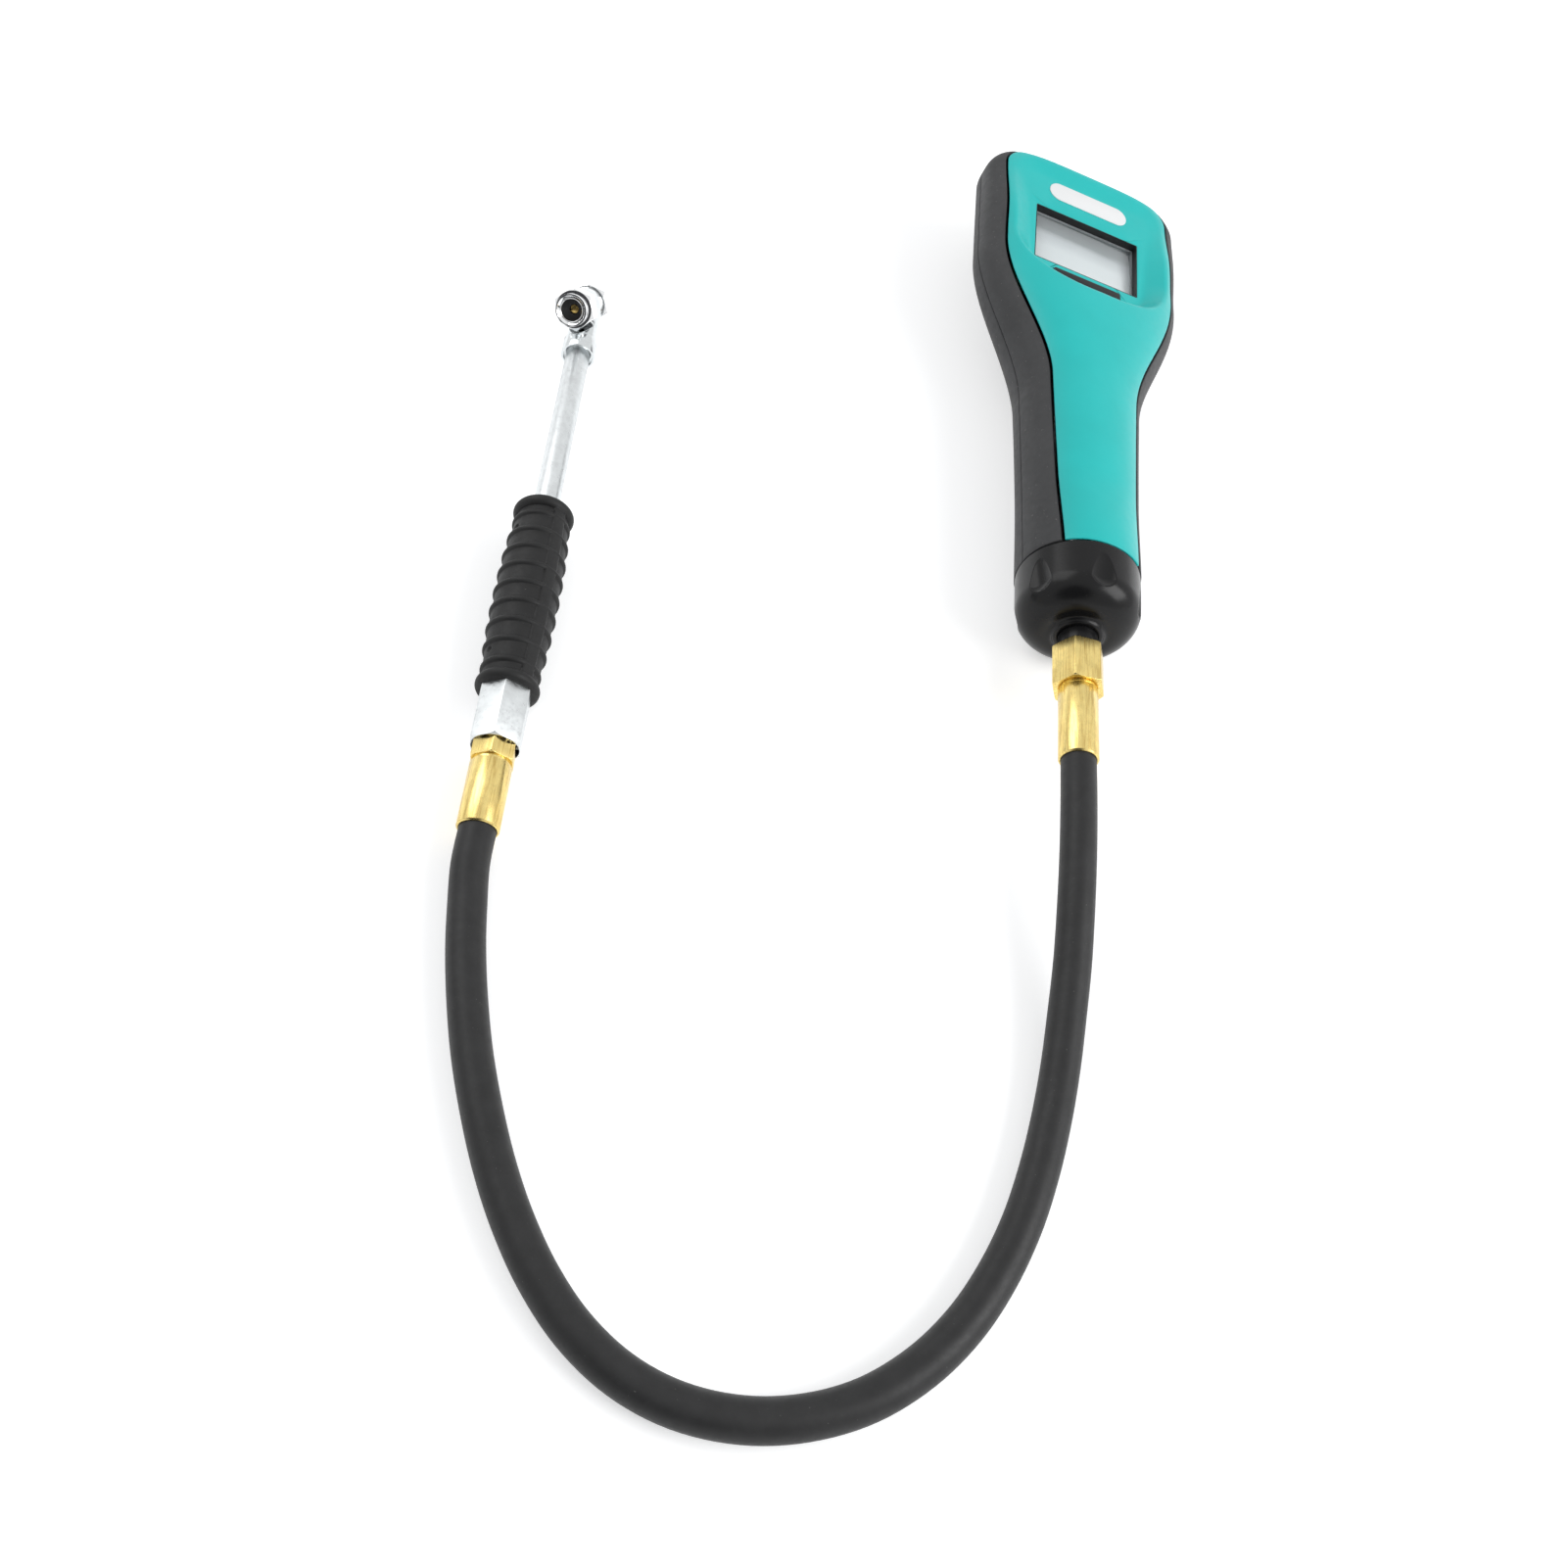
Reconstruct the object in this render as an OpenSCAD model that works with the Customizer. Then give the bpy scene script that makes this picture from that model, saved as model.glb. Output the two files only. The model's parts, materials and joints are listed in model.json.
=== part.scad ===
// Hand-held digital tyre inflator: a pistol-free, two-shell housing with a gauge display,
// a squeeze lever on its back, a whip hose and an inflating wand with a double-ended chuck.
// It lies on a flat surface: housing on its end cap and battery bulge, wand on its grip.
// Housing axes: x across, y from the hose end towards the head, z out of the display.
// Wand axes: y from the hose end towards the chuck.

/* [Placing] */
// Height of the housing's axis where the hose leaves it
gauge_z = 22.4; // [20:0.1:30]
// Tilt of the housing's axis, head end up
gauge_pitch = 1.44; // [0:0.01:4]
// Roll of the housing about its axis, right side down
gauge_roll = 13.6; // [0:0.1:20]
// Distance between the hose ends of the housing and the wand, across
wand_dx = 204.3; // [150:0.1:260]
// Distance between the two hose ends, lengthwise
wand_dy = 60.7; // [0:0.1:120]
// Height of the wand's axis at its hose end
wand_z = 9.2; // [8:0.1:20]
// Tilt of the wand, chuck end up
wand_pitch = 2.4; // [0:0.1:4]
// Turn of the wand, chuck end to the left
wand_yaw = 1.4; // [-5:0.1:5]
// Roll of the chuck about the wand, to the left
wand_roll = 17.5; // [-30:0.5:30]

/* [Hose and end fittings] */
// Outer diameter of the hose
hose_d = 13; // [11:0.5:14]
// Depth of the hose seat in a ferrule
hose_seat = 3; // [1:0.5:6]
// Wall of a ferrule
ferrule_wall = 0.9; // [0.6:0.1:1.2]
// Length of the housing-side ferrule
gauge_ferrule_len = 31; // [22:1:36]
// Length of the wand-side ferrule
wand_ferrule_len = 25.5; // [22:0.5:30]
// Diameter of the barb inside a ferrule
barb_d = 6.4; // [5.5:0.1:7]
// Air way through the fittings
air_d = 4; // [3:0.5:5]
// Across flats of the housing-side union hexagon
union_af = 18; // [15:0.5:19]
// Length of the housing-side union hexagon
union_len = 18.5; // [16:0.5:24]
// Turn of the housing-side union hexagon about its axis, in degrees
union_turn = 24; // [0:1:60]
// Across flats of the wand-side insert hexagon
insert_af = 14.5; // [13.5:0.5:17]
// Length of the wand-side insert hexagon
insert_len = 8; // [4:0.5:10]

/* [Housing] */
// Length of the housing from its end cap to the top of the head
housing_len = 241.5; // [225:0.5:250]
// Width and depth of the handle at its end cap
handle_d = 48.3; // [46:0.1:52]
// Width that the handle gains on its way to the head
handle_gain = 5.8; // [3:0.1:8]
// Width of the head
head_w = 98; // [90:0.5:106]
// Height of the handle's front over the axis
handle_front = 21.7; // [20:0.1:23]
// Depth of the handle's back under the axis
handle_rear = 21.9; // [21.5:0.1:23]
// Height of the head's front over the axis, at the display's lower lip
head_front = 23.4; // [22:0.1:25]
// Height of the head's front over the axis, at its top
head_top = 14.6; // [14:0.1:18]
// Depth of the head's back under the axis
head_rear = 18.8; // [18:0.1:21]
// Radius of the head's top corners
head_corner = 14; // [8:0.5:18]
// Radius round the head's top edge
head_edge = 4; // [2:0.5:6]
// Wall of the shells
shell_wall = 2.6; // [2.2:0.1:3]
// Depth of the battery bulge under the axis
bulge_out = 22.1; // [21.4:0.1:23]
// Width of the battery bulge
bulge_w = 60; // [56:0.5:64]
// Length of the battery bulge
bulge_len = 66; // [64:0.5:70]
// Thickness of the battery cover
door_t = 2; // [1.6:0.1:2.4]
// Diameter of a cell
cell_d = 10.5; // [10.3:0.1:10.7]
// Length of a cell
cell_len = 44.5; // [44:0.1:45]

/* [Front cover] */
// Half width of the cover at the end cap
cover_foot = 16.5; // [14:0.1:18]
// Half width of the cover on the head
cover_head = 41.8; // [41:0.1:44]
// Depth of the display recess at its lower lip
recess_depth = 14.4; // [13.5:0.1:15]
// Width of the display recess
recess_w = 76.8; // [72:0.2:78]
// Length of the display recess
recess_len = 90; // [86:0.5:92]
// Width of the display window
window_w = 52.3; // [44:0.1:54]
// Length of the display window
window_len = 35; // [30:0.5:38]
// Length of the label above the window
label_len = 40; // [36:0.5:48]
// Width of the label
label_w = 11; // [7:0.1:12]
// Length of the push button under the window
button_len = 34; // [16:0.5:36]
// Width of the push button
button_w = 6.5; // [5:0.5:7]
// Travel of the push button
button_travel = 0.8; // [0.5:0.1:1.2]

/* [End cap] */
// Length of the end cap
cap_len = 26.5; // [22:0.5:30]
// Radius round the cap's outer end
cap_round = 11.5; // [7:0.5:13]
// Number of finger dents
dent_count = 6; // [5:1:8]
// Depth of a finger dent
dent_depth = 2.2; // [1:0.1:2.4]
// Diameter of the outlet neck
neck_d = 15.2; // [14:0.1:16]
// Length of the neck between cap and union
neck_len = 8.5; // [6:0.5:12]

/* [Squeeze lever] */
// Width of the lever
lever_w = 15; // [12:0.5:17]
// Distance from the lever's pin to its free end
lever_len = 98; // [80:1:104]
// Thickness of the lever's plate
lever_t = 2.4; // [2:0.1:3]
// Diameter of the lever's pin
lever_pin_d = 4; // [3:0.1:5]
// Distance from the pin to the valve stem
stem_arm = 22; // [18:1:26]
// Angle that the lever travels
lever_travel = 5.5; // [4:0.1:6]

/* [Air valve] */
// Diameter of the valve body
valve_d = 18; // [16:0.5:19]
// Diameter of the valve stem
stem_d = 5; // [4:0.1:6]
// Running clearance of pins and stems, on the radius
run_gap = 0.05; // [0.02:0.01:0.09]
// Minor diameter of the inlet's female thread
inlet_thread_d = 11.4; // [8.5:0.1:11.8]
// Across flats of the inlet adapter
inlet_af = 17; // [16:0.5:19]
// How far the inlet adapter stands out of the head
inlet_out = 9; // [6:0.5:12]

/* [Wand] */
// Diameter of the wand's tube
tube_d = 10; // [8:0.5:11]
// Across flats of the wand's body
wand_af = 17; // [16:0.5:19]
// Length of the wand's body
wand_body_len = 27; // [22:1:34]
// Length of the rubber grip
grip_len = 86.5; // [80:0.5:110]
// Largest diameter of the grip's barrel, over its ribs
grip_d = 24.8; // [22:0.1:26]
// Diameter of the grip's end flanges
flange_d = 23.3; // [20:0.1:24]
// Number of ribs round the grip
rib_count = 9; // [6:1:12]
// Height of a rib
rib_h = 0.9; // [0.5:0.1:1.2]
// Bare length of tube between grip and chuck
tube_bare = 87.5; // [60:0.5:110]

/* [Chuck] */
// Angle between the double chuck and the wand
chuck_angle = 35; // [30:1:45]
// Distance between the chuck's two mouths
chuck_len = 38; // [36:0.5:44]
// Rise of the chuck's middle over the wand's axis
chuck_rise = 5; // [3:0.1:7]
// Diameter of the chuck's middle
chuck_d = 14.6; // [14:0.1:17]
// Across flats of a chuck nut
nut_af = 15.5; // [15:0.5:17]
// Diameter of a mouth
mouth_d = 9.8; // [9:0.1:10.5]
// Depth of a mouth down to its seal
mouth_depth = 7; // [5:0.5:8]
// Travel of a depressor pin
pin_travel = 2; // [1:0.1:2.5]

/* [Hidden] */

$fn = 64;
eps = 0.01;

// Where the housing and the wand lie: the origin is under the middle of the whole
gauge_x = 87.1;
gauge_y = -136.7;
wand_x = gauge_x - wand_dx;
wand_y = gauge_y - wand_dy;

// Stations along the housing's axis, from the housing-side end of the hose
union_y = gauge_ferrule_len + 1;
union_end = union_y + union_len;
cap_y = union_end + neck_len;
housing_y = cap_y + cap_len;
housing_end = housing_y + housing_len;

// Form of the housing
shoulder_y = housing_y + 87.7;
shoulder_end = housing_y + 175.7;
flat_y = housing_y + 66.2;
lip_start = housing_y + 93;
lip_end = housing_y + 146;
slope_y = shoulder_end + 2;
slope_end = slope_y + 50;
handle_r = handle_d / 2;
round_p = 2.1;
head_p = 2.84;
lip_p = 2.2;
top_p = 4;
section_n = 44;
skin_wall = shell_wall;
// Blocks that cut right through the housing
cut_w = 200;
cut_len = 900;
cut_deep = 60;

// Display bowl: a tilted floor, deep at the lip, with sides that slope up to a crest
recess_y = housing_end - 94.8;
recess_mid = recess_y + recess_len / 2;
recess_tilt = 2.6;
floor_z = head_front - recess_depth + recess_tilt_rise(recess_len / 2);
floor_t = 2;
crest_r = 12;
crest_over = 0.1;
foot_low_w = 57;
foot_top_w = 64;
foot_low_r = 14;
foot_top_r = 6;
lip_flat = 6;
foot_in = 13;
foot_out = 8;
ring_n = 8;
cover_r = 11;
window_y = recess_y + 43.2;
label_y = window_y + window_len / 2 + 8.1 + label_w / 2;
button_y = recess_y + 19.3;
lens_t = 1.6;
gasket_t = 1.2;
gasket_w = 2.4;
lcd_t = 3;
button_gap = 0.3;
button_lip_t = 1.2;
button_low = -floor_t - button_gap - button_lip_t;
button_up = 1;
switch_top = floor_z - (recess_mid - button_y) * tan(recess_tilt) + button_low - button_travel - 0.3;

// Parts inside the head
board_t = 1.6;
board_z = -1;
way_z = -5;
tube_grip = 4;
adapter_y = housing_end - 16;
adapter_d = 15;
thread_y = housing_end - 4;
filter_t = 2.5;
filter_d = 9.4;
bulge_z = -bulge_out;
bulge_back = 88;
bulge_y = housing_end - bulge_back;
bulge_mid = bulge_y + bulge_len / 2;
bulge_corner = 8;
door_rim = 4;
door_w = bulge_w - 2 * door_rim;
door_len = bulge_len - 2 * door_rim;
door_corner = 6;
door_gap = 0.2;
door_z = bulge_z + door_gap;
door_ledge = 2;
cell_x = 17;
cell_play = 0.5;
cell_lift = 0.6;
cell_z = door_z + door_t + cell_lift + cell_d / 2;
cell_tip_len = 1;
cell_tip_d = 3.8;
tray_wall = 1.2;
cell_slack = 0.4;
tray_gap = 0.3;
tray_len = cell_len + cell_play + 2 * tray_wall;
tray_foot_w = 4.6;
tray_foot_t = 1.6;
tray_foot_in = 1;
tray_tie_t = 4;
bay_start = 7;
well_y0 = bulge_mid - door_len / 2 + bay_start;
well_y1 = well_y0 + tray_len + 2 * tray_gap;
well_w = door_w - 2 * door_ledge;
ledge_z = -14.8;
door_screw_in = 3.5;
door_screw_y = bulge_mid - door_len / 2 + door_screw_in;
screw_head_t = 0.9;
screw_sink = 1;
door_screw_len = 7;
board_post_x = 28;
board_y = window_y;
board_w = 64;
board_len = 62;
board_post_in = 6;
// Chips on the board: place across and along from its middle, width and length
board_chips = [[-20, 6, 12, 12], [8, -8, 9, 7]];
chip_t = 1.2;
switch_d = 4;

// Lever and valve
pin_y = housing_y + 129;
pin_z = -13.5;
lever_out_z = -23.6;
lever_rise = 0.012;
heel_len = 8;
heel_y = pin_y - heel_len;
heel_r = 4;
lever_boss_d = 9;
lever_rib = 2;
slot_side = 0.8;
ear_t = 3;
lever_pin_len = lever_w + 2 * slot_side + 4;
saddle_t = 2.5;
saddle_places = [housing_y + 16, pin_y - 66, pin_y - 30];

// Screws
screw_d = 2.4;
screw_head_d = 4.8;
screw_in = 6.6;
rear_post_z = -9.8;
front_post_z = 7.4;
stem_y = pin_y - stem_arm;
valve_r = valve_d / 2;
valve_y = housing_y + 8;
valve_end = pin_y - 8;
chamber_r = 4.5;
neck_thread_d = 12;
dent_r = 9;
dent_in = 10;
dent_tilt = 11;
dent_turn = -6;
boss_w = 2;
boss_len = 2;
boss_round = 1;
chamber_z = 5.5;
guide_z = -6.5;
tube_out_d = 7;
sensor_y = stem_y - 22;
sensor_z = 6;
sensor_d = 8;
stem_head_z = -1;
stem_head_t = 1.5;
stem_seal_t = 1;
stem_gap = 0.3;
seat_z = stem_head_z - stem_seal_t - stem_gap;
seat_r = 3.5;
neck_thread_len = 12;

// Stations along the wand's axis, from the wand-side end of the hose
insert_y = wand_ferrule_len + 1.5;
insert_end = insert_y + insert_len;
insert_plug_d = 9;
plug_len = 10;
body_y = insert_end - 1.5;
tube_y = body_y + 18;
spigot_end = body_y + wand_body_len + 12;
spigot_d = 15;
grip_y = body_y + wand_body_len - 4;
grip_end = grip_y + grip_len;
tube_end = grip_end + tube_bare;
tube_in = 6;
socket_r = 7;
collar_len = 8;
collar_lip = 1.8;
collar_gap = 1;
collar_y = tube_end - 1;
chuck_mid_y = collar_y + collar_len + 17.5;
neck_end_y = chuck_mid_y + 6;
grip_strip_roll = 41;

// Stations along the chuck's axis, from its middle towards a mouth
chuck_mid_len = 14;
web_t = 3;
nut_thread_d = 9;
nut_bore_d = 5.6;
nut_stop_t = 1;
nose_len = 4;
nose_wall = 1.65;
mouth_chamfer = 1;
seal_y = chuck_len / 2 - mouth_depth;
seal_t = 2;
seal_d = mouth_d + 1.6;
seal_hole_d = 4;
depressor_d = 3.2;
pin_collar_t = 1.5;
collar_back_y = seal_y - nut_stop_t - 0.3 - pin_collar_t;

// Ribs and flanges of the grip
lip_r = 2.4;
neck_in = 2.2;
rib_w = 1.6;

// Places of the screws that hold the shells together
screw_places = [for (y = [housing_end - 25, housing_y + 30], side = [-1, 1])
    [side * (half_w(y) - screw_in), y]];

// ---- placing ----
module in_gauge() {
    translate([gauge_x, gauge_y, gauge_z])
        rotate([gauge_pitch, 0, 0])
            rotate([0, gauge_roll, 0])
                children();
}

module on_wand(roll = 0) {
    translate([wand_x, wand_y, wand_z])
        rotate([0, 0, wand_yaw])
            rotate([wand_pitch, 0, 0])
                rotate([0, roll, 0])
                    children();
}

// The chuck's own frame: y towards the front mouth, origin midway between the mouths
module in_chuck() {
    on_wand(-wand_roll)
        translate([0, chuck_mid_y, chuck_rise])
            rotate([180 - chuck_angle, 0, 0])
                children();
}

// A round bar along y
module bar(y0, y1, d) {
    translate([0, y0, 0])
        rotate([-90, 0, 0])
            cylinder(h = y1 - y0, d = d);
}

// A hexagon bar along y, corner up, with its end corners turned off
module hex_bar(y0, y1, af, chamfer = 0.8) {
    corner_d = af / cos(30);
    intersection() {
        translate([0, y0, 0])
            rotate([-90, 0, 0])
                rotate(30)
                    cylinder(h = y1 - y0, d = corner_d, $fn = 6);
        translate([0, y0, 0])
            rotate([-90, 0, 0])
                rotate_extrude()
                    polygon([[0, 0], [corner_d / 2 - chamfer, 0], [corner_d / 2 + eps, chamfer * 0.6],
                             [corner_d / 2 + eps, y1 - y0 - chamfer * 0.6],
                             [corner_d / 2 - chamfer, y1 - y0], [0, y1 - y0]]);
    }
}

// A rectangle with round corners, of exact arcs
module round_rect(w, l, r) {
    square([w - 2 * r, l], center = true);
    square([w, l - 2 * r], center = true);
    for (sx = [-1, 1], sy = [-1, 1])
        translate([sx * (w / 2 - r), sy * (l / 2 - r)])
            circle(r = r);
}

// ---- form of the housing ----
function smooth(a, b, y) =
    let (t = min(max((y - a) / (b - a), 0), 1)) t * t * (3 - 2 * t);

// How far a corner of radius r has turned in by station y
function turn_in(r, y) =
    let (t = min(max((y - (housing_end - r)) / r, 0), 1)) r * (1 - sqrt(1 - t * t));

function handle_w(y) = handle_r + handle_gain / 2 * pow((y - housing_y) / (shoulder_y - housing_y), 1.3);

function half_w(y) =
    let (h = handle_w(min(y, shoulder_y)))
    h + (head_w / 2 - h) * smooth(shoulder_y, shoulder_end, y) - turn_in(head_corner, y);

// The front rises towards the lip and slopes down again to the top
function front_z(y) =
    let (h = handle_r + (handle_front - handle_r) * smooth(housing_y, housing_y + 40, y))
    h + (head_front - h) * smooth(lip_start, lip_end, y)
    - (head_front - head_top) * smooth(slope_y, slope_end, y) - turn_in(head_edge, y);

function rear_z(y) =
    let (h = handle_r + (handle_rear - handle_r) * smooth(housing_y, housing_y + 40, y))
    h + (head_rear - h) * smooth(flat_y, shoulder_end, y) - turn_in(head_edge, y);

// How square the front and the rear half of a section are
function front_power(y) =
    round_p + (lip_p - round_p) * smooth(flat_y, lip_end, y) + (top_p - lip_p) * smooth(slope_y, slope_end, y);
function rear_power(y) = round_p + (head_p - round_p) * smooth(flat_y, shoulder_end, y);

function sgn_pow(v, e) = sign(v) * pow(abs(v), e);

// Height of the front skin over the axis
function skin_z(x, y) =
    let (p = front_power(y)) front_z(y) * pow(1 - pow(abs(x) / half_w(y), p), 1 / p);

// One section of the housing, drawn in by inset
function section(y, inset, at_y) = [
    for (i = [0 : section_n - 1])
        let (a = 360 * i / section_n, front = sin(a) >= 0,
             e = 2 / (front ? front_power(y) : rear_power(y)), h = front ? front_z(y) : rear_z(y))
        [(half_w(y) - inset) * sgn_pow(cos(a), e), at_y, (h - inset) * sgn_pow(sin(a), e)]];

// Stations of the skin, closer together where the corners turn
function stations() = concat(
    [for (t = [0 : 5]) housing_y + (shoulder_y - housing_y) * t / 5],
    [for (t = [1 : 8]) shoulder_y + (shoulder_end - shoulder_y) * t / 8],
    [for (t = [1 : 5]) shoulder_end + (housing_end - head_corner - shoulder_end) * t / 5],
    [for (a = [30, 50, 68, 90]) housing_end - head_corner * (1 - sin(a))]);

// Closed skin through all stations; the inner one runs past the open lower end
module body_loft(inset = 0) {
    ys = stations();
    last = len(ys) - 1;
    function moved(k) = inset == 0 ? ys[k]
        : k == 0 ? ys[0] - 1
        : min(ys[k], housing_end - inset);
    points = [for (k = [0 : last]) each section(ys[k], inset, moved(k))];
    n = section_n;
    sides = [for (k = [0 : last - 1], i = [0 : n - 1])
        let (j = (i + 1) % n)
        each [[k * n + i, k * n + j, (k + 1) * n + i], [k * n + j, (k + 1) * n + j, (k + 1) * n + i]]];
    lower = [[for (i = [0 : n - 1]) n - 1 - i]];
    upper = [[for (i = [0 : n - 1]) last * n + i]];
    polyhedron(points, concat(sides, lower, upper), convexity = 6);
}

// Half width of the cover, station by station
function cover_w(y) =
    let (foot = cover_foot + 0.04 * (y - housing_y))
    foot + (cover_head - foot) * smooth(shoulder_y + 6, shoulder_end - 2, y)
    - (let (t = min(max((y - (cover_end - cover_r)) / cover_r, 0), 1)) cover_r * (1 - sqrt(1 - t * t)));

cover_end = housing_end - 1.2;

module cover_outline() {
    // midway between the skin's own stations
    ys = concat([housing_y - 1], [for (t = [1 : 5]) housing_y + (shoulder_y - housing_y) * (t - 0.5) / 5],
                [for (t = [1 : 8]) shoulder_y + (shoulder_end - shoulder_y) * (t - 0.5) / 8],
                [cover_end - cover_r], [for (a = [30, 55, 75, 90]) cover_end - cover_r * (1 - sin(a))]);
    polygon(concat([for (y = ys) [cover_w(y), y]],
                   [for (i = [len(ys) - 1 : -1 : 0]) [-cover_w(ys[i]), ys[i]]]));
}

function recess_tilt_rise(d) = d * tan(recess_tilt);

// A closed outline of four round corners, the low pair and the top pair each with its own
// width and radius; all such outlines have their points at the same angles
function outline_ring(low_w, top_w, y0, y1, low_r, top_r) = [
    for (q = [0 : 3], i = [0 : ring_n])
        let (a = 180 + 90 * q + 90 * i / ring_n, side = q == 0 || q == 3 ? -1 : 1,
             r = q < 2 ? low_r : top_r, w = q < 2 ? low_w : top_w, y = q < 2 ? y0 + r : y1 - r)
        [side * (w / 2 - r) + r * cos(a), y + r * sin(a)]];

// The bowl from its foot on the floor to above its crest on the skin, made bigger by grow
// and deeper by drop
module recess_bowl(grow = 0, drop = 0) {
    foot = outline_ring(foot_low_w + 2 * grow, foot_top_w + 2 * grow, recess_y + foot_in - grow,
                        recess_y + recess_len - foot_out + grow, foot_low_r + grow, foot_top_r + grow);
    crest = outline_ring(recess_w + 2 * grow, recess_w + 2 * grow, recess_y - grow,
                         recess_y + recess_len + grow, (recess_w - lip_flat) / 2 + grow, crest_r + grow);
    n = len(foot);
    floor_ring = [for (p = foot) [p[0], p[1], floor_z + recess_tilt_rise(p[1] - recess_mid) - drop]];
    rim = [for (k = [0 : n - 1])
        let (c = [crest[k][0], crest[k][1], skin_z(crest[k][0], crest[k][1])])
        c + crest_over * (c - floor_ring[k])];
    points = concat(floor_ring, rim, [for (p = rim) [p[0], p[1], cut_deep]]);
    sides = [for (k = [0, 1], i = [0 : n - 1])
        let (j = (i + 1) % n)
        each [[k * n + i, (k + 1) * n + i, k * n + j], [k * n + j, (k + 1) * n + i, (k + 1) * n + j]]];
    polyhedron(points, concat(sides, [[for (i = [0 : n - 1]) i]], [[for (i = [0 : n - 1]) 3 * n - 1 - i]]),
               convexity = 6);
}

// Moves children so that z = 0 is the recess's floor at its middle
module on_floor() {
    translate([0, recess_mid, floor_z])
        rotate([recess_tilt, 0, 0])
            translate([0, -recess_mid, 0])
                children();
}

// ---- housing ----
module front_cover() {
    color([0.10, 0.72, 0.71])
        in_gauge()
            difference() {
                intersection() {
                    body_loft();
                    linear_extrude(height = cut_deep)
                        cover_outline();
                }
                difference() {
                    body_loft(skin_wall);
                    recess_bowl(floor_t, floor_t);
                }
                recess_bowl();
                on_floor()
                    translate([0, window_y, -10])
                        linear_extrude(height = 20)
                            square([window_w, window_len], center = true);
                on_floor()
                    translate([0, button_y, -10])
                        linear_extrude(height = 20)
                            round_rect(button_len + 2 * button_gap, button_w + 2 * button_gap, 1.9);
                translate([0, 0, -cut_deep])
                    linear_extrude(height = cut_deep + 3)
                        square([cut_w, cut_len], center = true);
            }
}

module front_shell() {
    color([0.16, 0.16, 0.17])
        in_gauge()
            difference() {
                union() {
                    difference() {
                        body_loft();
                        body_loft(skin_wall);
                        linear_extrude(height = cut_deep)
                            cover_outline();
                    }
                    screw_posts(0, front_post_z);
                }
                translate([0, 0, -cut_deep])
                    linear_extrude(height = cut_deep)
                        square([cut_w, cut_len], center = true);
                for (p = screw_places)
                    translate([p[0], p[1], -1])
                        cylinder(h = front_post_z - 1, d = screw_d + 0.1);
                inlet_hole();
            }
}

module rear_shell() {
    color([0.16, 0.16, 0.17])
        in_gauge()
            difference() {
                union() {
                    difference() {
                        body_loft();
                        body_loft(skin_wall);
                    }
                    battery_bulge();
                    screw_posts(rear_post_z, 0);
                    board_posts();
                    lever_ears();
                    intersection() {
                        body_loft();
                        saddle_slabs();
                    }
                }
                linear_extrude(height = cut_deep)
                    square([cut_w, cut_len], center = true);
                battery_well();
                lever_slot();
                lever_pin_hole();
                bar(valve_y - 20, valve_end + 20, valve_d);
                translate([0, 0, way_z])
                    bar(valve_end, housing_end - 5, tube_out_d + 1);
                screw_holes();
                inlet_hole();
            }
}

// Raised box on the back of the head that holds the cells
module battery_bulge() {
    difference() {
        translate([0, bulge_mid, bulge_z])
            linear_extrude(height = -bulge_z - 11)
                round_rect(bulge_w, bulge_len, bulge_corner);
        translate([0, bulge_mid, ledge_z])
            linear_extrude(height = cut_deep)
                round_rect(bulge_w - 2 * skin_wall, bulge_len - 2 * skin_wall, bulge_corner - 2);
    }
    translate([0, door_screw_y, ledge_z - 1])
        cylinder(h = 3, d = 6);
}

// Seat of the battery cover, the way in for the cells and the cover's screw hole
module battery_well() {
    translate([0, bulge_mid, bulge_z - 1])
        linear_extrude(height = door_t + door_gap + 1)
            round_rect(door_w + 2 * door_gap, door_len + 2 * door_gap, door_corner);
    translate([-well_w / 2, well_y0, bulge_z - 1])
        cube([well_w, well_y1 - well_y0, 16]);
    translate([0, door_screw_y, bulge_z])
        cylinder(h = 9, d = screw_d + 0.1);
}

// Cross walls that hold the valve body; the lever's slot parts them
module saddle_slabs() {
    for (y = saddle_places)
        translate([-cut_w / 2, y, -cut_deep])
            cube([cut_w, saddle_t, cut_deep]);
}

module board_posts() {
    for (sx = [-1, 1], sy = [-1, 1])
        translate([sx * board_post_x, board_y + sy * (board_len / 2 - board_post_in), board_z - 16])
            cylinder(h = 16, d = 5.4);
}

// Slot in the back for the lever
module lever_slot() {
    slot_w = lever_w + 2 * slot_side;
    slot_y0 = pin_y - lever_len - 3;
    translate([-slot_w / 2, slot_y0, -cut_deep])
        cube([slot_w, lever_len + 12, cut_deep + pin_z + 5]);
}

// Two ears that hold the lever's pin
module lever_ears() {
    for (side = [-1, 1])
        translate([side * (lever_w / 2 + slot_side + ear_t / 2), pin_y, pin_z - 1])
            cube([ear_t, 12, 10], center = true);
}

module lever_pin_hole() {
    translate([0, pin_y, pin_z])
        rotate([0, 90, 0])
            cylinder(h = lever_pin_len + 0.2, d = lever_pin_d, center = true);
}

module screw_posts(z0, z1) {
    for (p = screw_places)
        translate([p[0], p[1], z0])
            cylinder(h = z1 - z0, d = 7);
}

// Through holes of the shell screws, with room for their heads from behind
module screw_holes() {
    for (p = screw_places) {
        translate([p[0], p[1], -cut_deep])
            cylinder(h = cut_deep + 10, d = screw_d + 0.4);
        translate([p[0], p[1], -cut_deep])
            cylinder(h = cut_deep + rear_post_z + 1.2, d = screw_head_d + 0.4);
    }
}

module inlet_hole() {
    translate([0, 0, way_z])
        bar(adapter_y - 4, housing_end + 5, adapter_d + 0.2);
}

module display_lens() {
    color([0.85, 0.88, 0.90, 0.4])
        in_gauge()
            on_floor()
                translate([0, window_y, -floor_t - lens_t])
                    linear_extrude(height = lens_t)
                        square([window_w + 3, window_len + 3], center = true);
}

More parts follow.
